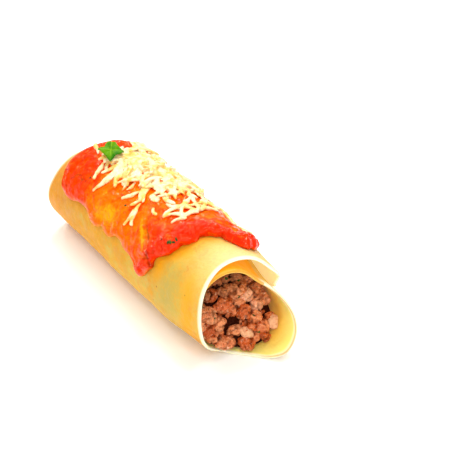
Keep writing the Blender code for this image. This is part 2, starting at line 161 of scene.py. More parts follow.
# -------- mesh helpers


def deselect() -> None:
    """Leaves nothing selected and nothing in edit mode."""
    if bpy.context.mode != "OBJECT":
        bpy.ops.object.mode_set(mode="OBJECT")
    bpy.ops.object.select_all(action="DESELECT")


def active(obj: Piece) -> None:
    """Selects one object alone and makes it the active one.

    Args:
        obj: the object.
    """
    deselect()
    obj.select_set(True)
    bpy.context.view_layer.objects.active = obj


def named(name: str) -> Piece:
    """Names the object just added, and its mesh, and places it by its mesh alone.

    Args:
        name: the new name.

    Returns:
        The object.
    """
    obj = bpy.context.object
    obj.name = name
    obj.data.name = name
    bpy.ops.object.transform_apply(location=True, rotation=True, scale=True)
    return obj


def add_grid(name: str, columns: int, rows: int) -> Piece:
    """Adds a flat grid from (0, 0) to (1, 1).

    Args:
        name: the new object's name.
        columns: faces along X.
        rows: faces along Y.

    Returns:
        The grid's object.
    """
    deselect()
    bpy.ops.mesh.primitive_grid_add(
        x_subdivisions=columns, y_subdivisions=rows, size=1, location=(0.5, 0.5, 0)
    )
    return named(name)


def add_slab(name: str, columns: int, rows: int) -> Piece:
    """Adds a closed slab from (0, 0, 0) to (1, 1, 1), with faces as for a grid."""
    slab = add_grid(name, columns, rows)
    finish_with(slab, "SOLIDIFY", thickness=1.0, offset=1.0)
    return slab


def read_points(obj: Piece, what: str) -> Numbers:
    """Reads three numbers of each mesh point.

    Args:
        obj: the object.
        what: "co" for the places, "normal" for the outward directions.

    Returns:
        Rows of three numbers.
    """
    values = np.empty(len(obj.data.vertices) * 3)
    obj.data.vertices.foreach_get(what, values)
    return values.reshape(-1, 3)


def points_of(obj: Piece) -> Numbers:
    """Reads an object's mesh points as rows of three coordinates."""
    return read_points(obj, "co")


def set_points(obj: Piece, points: Numbers) -> None:
    """Writes an object's mesh points from rows of three coordinates."""
    obj.data.vertices.foreach_set("co", np.ascontiguousarray(points, float).ravel())
    obj.data.update()


def mark(obj: Piece, **marks: Numbers | float) -> None:
    """Stores numbers for each mesh point, for the material to read.

    Args:
        obj: the object whose mesh is marked.
        **marks: by name, one number for each point or one for all.
    """
    for name, values in marks.items():
        stored = obj.data.attributes.get(name) or obj.data.attributes.new(name, "FLOAT", "POINT")
        each = np.broadcast_to(values, len(obj.data.vertices)).astype(float)
        stored.data.foreach_set("value", each)


def marked(obj: Piece, name: str) -> Numbers:
    """Reads the number stored for each mesh point.

    Args:
        obj: the object.
        name: the name that it is stored under.

    Returns:
        The numbers.
    """
    values = np.empty(len(obj.data.vertices))
    obj.data.attributes[name].data.foreach_get("value", values)
    return values


def finish_with(obj: Piece, kind: str, **settings: object) -> None:
    """Adds one modifier and applies it.

    Args:
        obj: the object to change.
        kind: the modifier's type, such as "SOLIDIFY".
        **settings: the modifier's values by name.
    """
    active(obj)
    modifier = obj.modifiers.new(kind.lower(), kind)
    for name, value in settings.items():
        setattr(modifier, name, value)
    bpy.ops.object.modifier_apply(modifier=modifier.name)


def refine(obj: Piece, levels: int) -> None:
    """Smooths a mesh by subdivision surface."""
    finish_with(obj, "SUBSURF", levels=levels, render_levels=levels)


def pick(obj: Piece, kind: str, wanted: Callable[[Numbers], bool]) -> None:
    """Selects only the wanted edges or faces and enters edit mode.

    Args:
        obj: the object.
        kind: "EDGE" or "FACE".
        wanted: says of an edge's or a face's points, as rows, whether it is wanted.
    """
    active(obj)
    bpy.ops.object.mode_set(mode="EDIT")
    bpy.ops.mesh.select_mode(type=kind)
    bpy.ops.mesh.select_all(action="DESELECT")
    bpy.ops.object.mode_set(mode="OBJECT")
    points = points_of(obj)
    for item in obj.data.edges if kind == "EDGE" else obj.data.polygons:
        item.select = bool(wanted(points[list(item.vertices)]))
    bpy.ops.object.mode_set(mode="EDIT")


def outward(obj: Piece) -> None:
    """Turns every face outwards and shades the whole smooth.

    Args:
        obj: the object.
    """
    active(obj)
    bpy.ops.object.mode_set(mode="EDIT")
    bpy.ops.mesh.select_all(action="SELECT")
    bpy.ops.mesh.normals_make_consistent(inside=False)
    bpy.ops.object.mode_set(mode="OBJECT")
    bpy.ops.object.shade_smooth()


def joined(parts: list[Piece], name: str) -> Piece:
    """Joins objects into one mesh.

    Args:
        parts: the objects, which are used up.
        name: the joined object's name.

    Returns:
        The joined object.
    """
    deselect()
    for part in parts:
        part.select_set(True)
    bpy.context.view_layer.objects.active = parts[0]
    bpy.ops.object.join()
    whole = bpy.context.object
    whole.name = name
    whole.data.name = name
    return whole


def copied(obj: Piece) -> Piece:
    """Copies an object with a mesh of its own.

    Args:
        obj: the object.

    Returns:
        The copy.
    """
    copy = obj.copy()
    copy.data = obj.data.copy()
    bpy.context.collection.objects.link(copy)
    return copy


def placed(
    obj: Piece, material: Material, slot: str, *nodes: str
) -> None:
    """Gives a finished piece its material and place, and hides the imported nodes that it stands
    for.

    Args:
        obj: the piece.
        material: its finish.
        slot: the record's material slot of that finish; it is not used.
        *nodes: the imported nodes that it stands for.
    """
    obj.data.materials.clear()
    obj.data.materials.append(material)
    obj.data.transform(Matrix.Translation(TO_ORIGIN))
    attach(obj, "root")
    if nodes:
        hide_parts(*nodes)
    log.info("%s: %d faces", obj.name, len(obj.data.polygons))


# -------- material helper


@dataclass(frozen=True)
class Grain:
    """Soft noise: waves a metre, detail, roughness, warp, and the values it ramps between."""

    scale: float
    detail: float = 2.0
    roughness: float = 0.5
    warp: float = 0.0
    low: float = 0.0
    high: float = 1.0


class Recipe:
    """The node tree of one material, put together step by step."""

    def __init__(self, name: str) -> None:
        """Starts a material with its shader alone.

        Args:
            name: the material's name.
        """
        self.material = bpy.data.materials.new(name)
        self.material.use_nodes = True
        self.tree = self.material.node_tree
        self.shader = self.tree.nodes["Principled BSDF"]
        self.place = self.tree.nodes.new("ShaderNodeTexCoord").outputs["Object"]

    def feed(self, node: bpy.types.Node, values: dict[str | int, object]) -> bpy.types.Node:
        """Links or sets a node's inputs.

        Args:
            node: the node.
            values: for each input, by name or number, a socket to link or a value to set.

        Returns:
            The same node.
        """
        for name, value in values.items():
            if isinstance(value, Socket):
                self.tree.links.new(value, node.inputs[name])
            else:
                node.inputs[name].default_value = value
        return node

    def add(
        self, kind: str, values: dict[str | int, object], **settings: object
    ) -> bpy.types.Node:
        """Adds one node.

        Args:
            kind: the node's type.
            values: its inputs, as for feed.
            **settings: its own settings by name.

        Returns:
            The new node.
        """
        node = self.tree.nodes.new(kind)
        for name, value in settings.items():
            setattr(node, name, value)
        return self.feed(node, values)

    def grain(self, grain: Grain) -> Socket:
        """Noise over the piece, 0 to 1."""
        values = {"Vector": self.place, "Scale": grain.scale, "Detail": grain.detail,
                  "Roughness": grain.roughness, "Distortion": grain.warp}
        return self.add("ShaderNodeTexNoise", values).outputs["Fac"]

    def mask(self, grain: Grain, least: float = 0.0, most: float = 1.0) -> Socket:
        """Noise drawn out between its low and high values, from least to most."""
        return self.between(self.grain(grain), grain.low, grain.high, least, most)

    def cells(self, scale: float) -> Socket:
        """Distance to the nearest of scattered points, at a number of points a metre."""
        values = {"Vector": self.place, "Scale": scale}
        return self.add("ShaderNodeTexVoronoi", values).outputs["Distance"]

    def stored(self, name: str) -> Socket:
        """The number that the mesh stores under a name."""
        return self.add("ShaderNodeAttribute", {}, attribute_name=name).outputs["Fac"]

    def between(self, value: Socket, low: float, high: float,
                first: float = 0.0, last: float = 1.0) -> Socket:
        """Smooth ramp of a value.

        Args:
            value: the socket read.
            low: value at which the ramp starts.
            high: value at which it ends.
            first: its height at the start.
            last: its height at the end.

        Returns:
            The ramp's socket.
        """
        values = {"Value": value, "From Min": low, "From Max": high,
                  "To Min": first, "To Max": last}
        node = self.add("ShaderNodeMapRange", values, interpolation_type="SMOOTHSTEP")
        return node.outputs["Result"]

    def times(self, first: Socket, second: object) -> Socket:
        """Product of two numbers."""
        node = self.add("ShaderNodeMath", {0: first, 1: second}, operation="MULTIPLY")
        return node.outputs[0]

    def plus(self, first: Socket, second: object) -> Socket:
        """Sum of two numbers."""
        node = self.add("ShaderNodeMath", {0: first, 1: second}, operation="ADD")
        return node.outputs[0]

    def blend(self, share: object, first: object, second: object,
              way: str = "MIX") -> Socket:
        """Blends two colours.

        Args:
            share: how much of the second, as a socket or a number.
            first: a display colour or a socket.
            second: a display colour or a socket.
            way: the blending type.

        Returns:
            The blended colour's socket.
        """
        node = self.tree.nodes.new("ShaderNodeMix")
        node.data_type = "RGBA"
        node.blend_type = way
        for socket, value in zip((node.inputs[0], node.inputs[6], node.inputs[7]),
                                 (share, first, second)):
            if isinstance(value, Socket):
                self.tree.links.new(value, socket)
            else:
                socket.default_value = linear(value) if isinstance(value, tuple) else value
        return node.outputs[2]

    def cover(self, under: object, over: object, mask: Socket,
              share: float = 1.0) -> Socket:
        """Lays one colour over another, as far as a mask and a share allow."""
        return self.blend(mask if share == 1.0 else self.times(mask, share), under, over)

    def relief(self, height: Socket, depth: float,
               under: Socket | None = None) -> Socket:
        """Fine relief for the shader's normal.

        Args:
            height: the pattern that stands up.
            depth: its height in metres.
            under: an earlier relief that it lies over.

        Returns:
            The relief's socket.
        """
        values = {"Height": height, "Distance": depth, "Strength": 1.0}
        if under is not None:
            values["Normal"] = under
        return self.add("ShaderNodeBump", values).outputs["Normal"]

    def done(self, values: dict[str | int, object]) -> Material:
        """Feeds the shader's inputs and hands over the material."""
        self.feed(self.shader, values)
        return self.material


# -------- the roll's form


@dataclass(frozen=True)
class Sag:
    """A place where a layer sinks inwards at the mouth."""

    depth: float
    middle: float
    half_width: float
    reach: float


@dataclass(frozen=True)
class RollForm:
    """The wound sheet's form, from which all that lies on it or in it takes its place."""

    roll_radius: float = 0.021
    axis_z: float = 0.0203
    sheet: float = 0.0012
    layer_gap: float = 0.00045
    piece_gap: float = 0.0003
    inner_end: float = math.radians(145)
    roundness: float = 2.08
    dents: float = 0.0003
    clearance: float = 0.0002
    look_aside: float = math.radians(9)
    merge_turns: tuple[float, float] = (math.radians(118), math.radians(185))
    merge_delay: float = math.radians(34)
    merge_reach: float = 0.025
    flap_corner: float = math.radians(9)
    flap_drop: float = math.radians(22)
    flap_squareness: float = 0.38
    flap_rise: float = math.radians(15)
    flap_y: tuple[float, float] = (-0.0510, 0.0515)
    mouth_y: float = -0.0550
    inner_sag: Sag = Sag(0.0062, math.radians(46), math.radians(78), 0.036)
    flap_sag: Sag = Sag(0.0015, math.radians(42), math.radians(32), 0.024)
    mouth_pinch: Sag = Sag(0.0024, math.radians(-150), math.radians(75), 0.030)
    front_rim: Curve = (
        (0, -0.0525), (100, -0.0550), (126, -0.0562), (160, -0.0625), (190, -0.0668),
        (204, -0.0660), (232, -0.0565), (254, -0.0505), (290, -0.0540), (320, -0.0574),
        (345, -0.0570), (390, -0.0520), (412, -0.0517), (450, -0.0535), (478, -0.0532),
        (493, -0.0510),
    )
    rear_rim: Curve = (
        (0, 0.0480), (100, 0.0500), (160, 0.0545), (225, 0.0660), (310, 0.0622), (350, 0.0578),
        (378, 0.0552), (404, 0.0512), (440, 0.0498), (493, 0.0515),
    )

    def sag(self, rule: Sag, angle: Numbers, y: Numbers) -> Numbers:
        """How far a layer sinks at the mouth.

        Args:
            rule: the sag.
            angle: roll angles.
            y: places along the roll.

        Returns:
            Depths in metres.
        """
        across = np.minimum(np.abs(wrapped(angle - rule.middle)) / rule.half_width, 1.0)
        along = 1 - smoothstep(self.mouth_y, self.mouth_y + rule.reach, y)
        return rule.depth * np.cos(across * math.pi / 2) ** 2 * along

    def flap_turn(self, along: Numbers) -> Numbers:
        """Turn at which the sheet ends along its flap.

        Args:
            along: shares of the way along the flap.

        Returns:
            Turns in radians.
        """
        corner = self.inner_end - self.flap_corner + math.tau
        arch = np.maximum(np.sin(math.pi * along), 0.0) ** self.flap_squareness
        return corner + self.flap_drop * arch

    def layer_radius(self, turn: Numbers, y: Numbers) -> Numbers:
        """Radius of the sheet's middle before its flap comes to rest on the layer beneath.

        Args:
            turn: turns of the points.
            y: their places along the roll.

        Returns:
            Radii in metres.
        """
        angle = wrapped(self.inner_end - turn)
        delay = self.merge_delay * smoothstep(self.mouth_y, self.mouth_y + self.merge_reach, y)
        inner = 1 - smoothstep(0.0, 1.0, (turn - self.merge_turns[0] - delay)
                               / (self.merge_turns[1] - self.merge_turns[0]))
        radius = self.roll_radius - self.sheet / 2 - (self.sheet + self.layer_gap) * inner
        under = self.sag(self.inner_sag, angle, y)
        over = self.sag(self.mouth_pinch, angle, y) + self.sag(self.flap_sag, angle, y)
        return radius - np.where(turn < math.pi, under, over)

    def sheet_radius(self, turn: Numbers, y: Numbers) -> Numbers:
        """Distance from the roll's axis to the sheet's middle.

        Args:
            turn: turns of the points.
            y: their places along the roll.

        Returns:
            Radii in metres.
        """
        along = np.clip((y - self.flap_y[0]) / (self.flap_y[1] - self.flap_y[0]), 0.0, 1.0)
        risen = smoothstep(0.0, self.flap_rise, self.flap_turn(along) - turn)
        resting = self.layer_radius(turn - math.tau, y) + self.sheet + self.layer_gap
        return resting + (self.layer_radius(turn, y) - resting) * risen

    def around(self, angle: Numbers, radius: Numbers, y: Numbers,
               lowest: float) -> Numbers:
        """Points round the axis, flat where they would sink below a height.

        Args:
            angle: roll angles.
            radius: distances from the axis.
            y: places along the roll.
            lowest: the least height.

        Returns:
            Rows of three coordinates.
        """
        cosine, sine = np.cos(angle), np.sin(angle)
        dents = self.dents * np.sin(2 * angle + 55 * y + 0.6) * np.sin(math.pi * y / 0.047 + 0.4)
        reach = radius + dents
        fuller = (np.abs(cosine) ** self.roundness + np.abs(sine) ** self.roundness) ** (
            1 / self.roundness
        )
        reach = np.where(sine < 0, reach / fuller, reach)
        height = np.maximum(self.axis_z + reach * sine, lowest)
        return np.stack(np.broadcast_arrays(reach * cosine, y, height), axis=-1)

    def over_roll(self, angle: Numbers, y: Numbers, height: Numbers) -> Numbers:
        """Points at a height above the outside of the roll's upper half.

        Args:
            angle: roll angles.
            y: places along the roll.
            height: heights in metres.

        Returns:
            Rows of three coordinates.
        """
        turn = self.inner_end - angle + math.tau
        radius = self.sheet_radius(turn, y) + self.sheet / 2 + height
        return self.around(angle, radius, y, 0.0)

    def free_radius(self, angle: Numbers, y: Numbers) -> Numbers:
        """Distance from the axis to which the filling may reach.

        Args:
            angle: roll angles.
            y: places along the roll.

        Returns:
            Distances in metres.
        """
        turn = np.remainder(self.inner_end - np.asarray(angle, float), math.tau)
        near = [self.sheet_radius(np.remainder(turn + step, math.tau), y)
                for step in (-self.look_aside, 0.0, self.look_aside)]
        return np.minimum.reduce(near) - self.sheet / 2 - self.piece_gap - self.clearance


@dataclass(frozen=True)
class Band:
    """A soft band on the sheet: its distance from an edge, its width and its roll angles."""

    middle: float
    width: float
    rise: Span
    fall: Span

    def on(self, distance: Numbers, angle: Numbers) -> Numbers:
        """Strength, 0 to 1, at distances from the edge and roll angles in degrees."""
        return hump(distance, self.middle, self.width) * plateau(angle, self.rise, self.fall)


@dataclass(frozen=True)
class Patch:
    """A soft round patch: its place along, its reach, its roll angle in degrees and its spread."""

    middle: float
    reach: float
    angle: float
    spread: float

    def on(self, along: Numbers, angle: Numbers) -> Numbers:
        """Strength, 0 to 1, at places along and roll angles in degrees."""
        return hump(along, self.middle, self.reach) * hump(angle, self.angle, self.spread)


# -------- the crepe


@dataclass(frozen=True)
class BatterFinish:
    """Fried batter: pale and golden patches, toasted streaks, pores, a creamy cut edge, and painted
    light and shade.
    """

    pale: Colour = (213, 182, 74)
    golden: Colour = (219, 153, 26)
    # Dull olive yellow of a band on the left flank: partly the batter's duller tone, partly painted
    # shade.
    wan: Colour = (198, 170, 80)
    glow: Colour = (244, 168, 10)
    amber: Colour = (232, 142, 22)
    toasted: Colour = (190, 88, 14)
    # Cream: the cut edge's own colour, and also painted light on the top near the mouth and on the
    # flap's shaded inside.
    cream: Colour = (255, 246, 216)
    lemon: Colour = (250, 230, 122)
    gold: Colour = (236, 180, 30)
    speck: Colour = (150, 84, 24)
    patches: Grain = Grain(65, 3, 0.6, 0.5, low=0.44, high=0.64)
    far_golden: float = 0.2
    mottle: Grain = Grain(380, 4, 0.72, 0.6, low=0.42, high=0.66)
    mottle_share: float = 0.45
    streaks: Grain = Grain(170, 4, 0.65, 1.0, low=0.52, high=0.8)
    freckles: Grain = Grain(1000, 3, 0.6, low=0.48, high=0.72)
    freckle_share: float = 0.5
    specks_a_metre: float = 150
    speck_size: Span = (0.09, 0.05)
    speck_fields: Grain = Grain(60, low=0.52, high=0.6)
    speck_share: float = 0.8
    burnt_share: float = 0.85
    pores: Grain = Grain(900, 3, 0.6)
    pore_depth: float = 0.0002
    ripples: Grain = Grain(210, 3, 0.5, 0.4)
    ripple_depth: float = 0.0005
    sheen: Grain = Grain(300, low=0.3, high=0.7)

    def material(self) -> Material:
        """Makes the finish's material.

        Returns:
            The material.
        """
        mix = Recipe("crepe")
        tone = mix.plus(mix.grain(self.patches), mix.times(mix.stored("far"), self.far_golden))
        patches = mix.between(tone, self.patches.low, self.patches.high)
        colour = mix.blend(patches, self.pale, self.golden)
        mottle, streaks = mix.mask(self.mottle), mix.mask(self.streaks)
        glow = mix.stored("glow")
        streaked = mix.times(streaks, mix.plus(mix.times(glow, 0.45), 0.3))
        # Dull band on the left flank: partly the batter's tone, partly painted shade.
        wan = mix.times(mix.stored("wan"), mix.between(mottle, 0.0, 1.0, 0.95, 0.6))
        toasted = mix.times(mix.stored("toast"), mix.between(streaks, 0.0, 0.7, 0.4, 1.0))
        # Inside faces go from lemon near the rim to gold deeper in: partly oil from the filling,
        # partly painted shade.
        within = mix.blend(mix.stored("deep"), self.lemon, self.gold)
        specks = mix.times(mix.between(mix.cells(self.specks_a_metre), *self.speck_size),
                           mix.mask(self.speck_fields))
        for over, mask, share in (
            (self.glow, mottle, self.mottle_share),
            (self.amber, mix.mask(self.freckles), self.freckle_share),
            (self.wan, wan, 1.0),
            (self.glow, glow, 1.0),
            (self.amber, streaked, 1.0),
            (self.toasted, toasted, 1.0),
            (within, mix.stored("inside"), 1.0),
            (self.speck, specks, self.speck_share),
            # Cream: the cut edge, plus painted light on the top and on the flap's inside.
            (self.cream, mix.stored("cream"), 1.0),
            (self.amber, mix.stored("burnt_edge"), self.burnt_share),
        ):
            colour = mix.cover(colour, over, mask, share)
        pores = mix.relief(mix.grain(self.pores), self.pore_depth)
        return mix.done({
            "Base Color": colour,
            "Normal": mix.relief(mix.grain(self.ripples), self.ripple_depth, pores),
            "Roughness": mix.mask(self.sheen, 0.42, 0.58),
            "Subsurface Weight": 0.42, "Subsurface Radius": (1.0, 0.72, 0.35),
            "Subsurface Scale": 0.0032, "Specular IOR Level": 0.18,
            "Specular Tint": (1.0, 0.85, 0.5, 1.0),
            # Painted glow: the inside faces, the flap's most, give off warm light.
            "Emission Color": (1.0, 0.88, 0.52, 1.0), "Emission Strength": mix.stored("lit"),
        })


@dataclass
class Crepe:
    """The rolled sheet, with the angles and turns, in degrees, at which its colour changes."""

    form: RollForm
    finish: BatterFinish = BatterFinish()
    columns: int = 170
    rows: int = 60
    ripple: float = 0.00016
    ripple_waves: tuple[float, float, float] = (5, 130, 190)
    inner_layer_end: float = 105
    wall: tuple[Span, Span] = ((85, 105), (205, 235))
    flap: Span = (375, 400)
    glow_band: Band = Band(0.0085, 0.0045, (112, 150), (215, 250))
    # Duller, darker band on the left flank near the mouth: partly painted shade.
    wan_band: Band = Band(0.0225, 0.0075, (118, 140), (215, 245))
    sauce_stain: Band = Band(0.001, 0.0038, (62, 100), (150, 182))
    toasted_corner: Patch = Patch(0.0045, 0.0065, 216, 15)
    toasted_streak: Patch = Patch(-0.0405, 0.004, 132, 22)
    # Roll angle and spread, in degrees, of the painted highlight on the top near the mouth.
    top_highlight: Span = (88, 44)
    outside_facing: Span = (-0.2, 0.3)
    edge_facing: Span = (-0.1, -0.5)
    beneath: Span = (358, 318)
    low_glow: Span = (180, 210)
    low_toast: Span = (205, 260)
    rear_toast: Span = (0.015, 0.055)
    rear_golden: Span = (-0.045, 0.035)
    # Distances from the rim over which the inside turns gold: partly oil, partly painted shade.
    oil_and_shade_within: Span = (0.001, 0.013)
    rim_rounding: Span = (0.0018, 0.0006)
    # Distances from the rim over which the painted highlight on the top comes in.
    top_highlight_reach: Span = (0.022, 0.001)
    pale_wall: Span = (0.0045, 0.001)
    burnt_rim: Span = (0.0009, 0.0004)

    def build(self) -> Piece:
        """Winds a grid into the roll, thickens it and rounds its edges.

        Returns:
            The crepe's object.
        """
        form = self.form
        crepe = add_grid("crepe", self.columns, self.rows)
        share, along = points_of(crepe)[:, 0], points_of(crepe)[:, 1]
        turn = share * form.flap_turn(along)
        degrees = np.degrees(turn)
        front = curve_through(form.front_rim, degrees)
        rear = curve_through(form.rear_rim, degrees)
        y = front + (rear - front) * along
        angle = wrapped(form.inner_end - turn)
        around, slant, along_roll = self.ripple_waves
        folds = np.sin(around * angle + slant * y) * np.sin(along_roll * y - 2 * angle + 0.8)
        radius = form.sheet_radius(turn, y) + self.ripple * folds
        set_points(crepe, form.around(angle, radius, y, form.sheet / 2))
        mark(crepe, turn=turn, from_rim=np.minimum(y - front, rear - y))
        finish_with(crepe, "SOLIDIFY", thickness=form.sheet, offset=0.0, use_even_offset=True)
        refine(crepe, 1)
        outward(crepe)
        return crepe

    def dress(self, crepe: Piece) -> None:
        """Marks where the sheet is toasted, creamy or inside, and where light and shade are painted
        on it, and gives it its finish.

        Args:
            crepe: the rolled sheet.
        """
        across = points_of(crepe) - np.array([0.0, 0.0, self.form.axis_z])
        y = across[:, 1].copy()
        across[:, 1] = 0
        across /= np.linalg.norm(across, axis=1, keepdims=True)
        angle = np.degrees(np.arctan2(across[:, 2], across[:, 0])) % 360
        facing = np.sum(read_points(crepe, "normal") * across, axis=1)
        turn, from_rim = np.degrees(marked(crepe, "turn")), marked(crepe, "from_rim")
        front, inner_layer = y < 0, turn < self.inner_layer_end
        outside = smoothstep(*self.outside_facing, facing)
        beneath = smoothstep(*self.beneath, angle)
        wall, flap = plateau(turn, *self.wall), smoothstep(*self.flap, turn)
        stain = self.sauce_stain.on(curve_through(Sauce.front, angle) - y, angle)
        glow = (0.95 * self.glow_band.on(from_rim, angle) * front + 0.9 * stain
                + 0.4 * smoothstep(*self.low_glow, angle) * beneath + 0.9 * inner_layer)
        toast = (self.toasted_corner.on(from_rim, angle) * front
                 + 0.45 * self.toasted_streak.on(y, angle) + 0.35 * stain
                 + 0.25 * smoothstep(*self.low_toast, angle) * beneath
                 + 0.45 * smoothstep(*self.rear_toast, y))
        rounding = smoothstep(*self.rim_rounding, from_rim) * np.where(inner_layer, 0.1, 0.9)
        # Painted highlight: paler cream on the top near the mouth, where the light falls.
        top_highlight = 0.3 * smoothstep(*self.top_highlight_reach, from_rim) * hump(angle, *self.top_highlight)
        pale_wall = 0.75 * smoothstep(*self.pale_wall, from_rim) * wall
        cream = np.maximum(rounding, outside * (top_highlight * ~inner_layer + pale_wall))
        burnt = np.where(inner_layer, 0.8, wall * smoothstep(*self.edge_facing, facing))
        mark(
            crepe,
            inside=(1 - outside) * (1 - 0.6 * flap),
            # Painted glow on the inside faces, strongest on the flap's shaded inside.
            lit=(1 - outside) * (0.05 + 0.30 * flap),
            far=smoothstep(*self.rear_golden, y) * 1.7 - 0.75,
            # Gold deeper inside from the rim: partly oil from the filling, partly painted shade.
            deep=smoothstep(*self.oil_and_shade_within, from_rim),
            # Dull band on the left flank near the mouth: partly the batter's tone, partly painted
            # shade.
            wan=outside * front * self.wan_band.on(from_rim, angle),
            glow=outside * np.clip(glow, 0, 1),
            toast=outside * np.clip(toast, 0, 1),
            # Painted light: the flap's shaded inside is painted pale cream.
            cream=np.clip(cream + 0.85 * flap * (1 - outside), 0, 1),
            burnt_edge=smoothstep(*self.burnt_rim, from_rim) * burnt * front,
        )
        placed(crepe, self.finish.material(), "crepe", "crepe")


# -------- the filling


@dataclass(frozen=True)
class MeatFinish:
    """Browned minced meat, moist, with paler fat in places, and painted shade in its gaps and
    recesses.
    """

    brown: Colour = (198, 84, 22)
    pink: Colour = (238, 148, 96)
    fat: Colour = (255, 208, 176)
    # Near-black brown: the scorched patches, and painted shade in gaps, creases and recesses.
    dark: Colour = (54, 17, 6)
    own_tone: float = 0.55
    patches: Grain = Grain(480, 3, 0.65, low=0.5, high=0.98)
    scorched: Grain = Grain(700, 3, 0.65, 0.5, low=0.54, high=0.7)
    scorched_share: float = 0.58
    veins: Grain = Grain(1000, 2, 0.5, 0.8, low=0.62, high=0.72)
    fat_share: float = 0.7
    fibres: Grain = Grain(2000, 3, 0.6)
    fibre_depth: float = 0.00025
    lumps_a_metre: float = 950
    lump_depth: float = 0.00045
    sheen: Grain = Grain(700, low=0.35, high=0.65)

    def material(self) -> Material:
        """Makes the finish's material.

        Returns:
            The material.
        """
        mix = Recipe("filling")
        tone = mix.plus(mix.times(mix.stored("tone"), self.own_tone), mix.grain(self.patches))
        colour = mix.blend(mix.between(tone, self.patches.low, self.patches.high),
                           self.brown, self.pink)
        # Painted shade: the stored amount darkens recesses, creases, undersides and the meat under
        # the flap.
        deep = mix.stored("deep")
        for over, mask, share in (
            (self.dark, mix.mask(self.scorched), self.scorched_share),
            (self.fat, mix.mask(self.veins), self.fat_share),
            (self.fat, mix.stored("fat"), self.fat_share),
            (self.dark, deep, 1.0),
        ):
            colour = mix.cover(colour, over, mask, share)
        fibres = mix.relief(mix.grain(self.fibres), self.fibre_depth)
        return mix.done({
            "Base Color": colour,
            "Normal": mix.relief(mix.cells(self.lumps_a_metre), self.lump_depth, fibres),
            "Roughness": mix.mask(self.sheen, 0.2, 0.5),
            "Subsurface Weight": 0.06, "Subsurface Radius": (1.0, 0.35, 0.2),
            "Subsurface Scale": 0.0008, "Specular Tint": (1.0, 0.8, 0.65, 1.0),
            "Specular IOR Level": mix.between(deep, 0.1, 0.7, 0.55, 0.04),
        })


@dataclass(frozen=True)
class SlantedFace:
    """One end of the filling, which leans across the roll."""

    middle: float
    per_x: float
    per_z: float
    twist: float

    def place(self, x: float, rise: float) -> float:
        """Place along the roll at a distance across it and a height above its axis."""
        return self.middle + self.per_x * x + self.per_z * rise + self.twist * x * min(rise, 0.0)


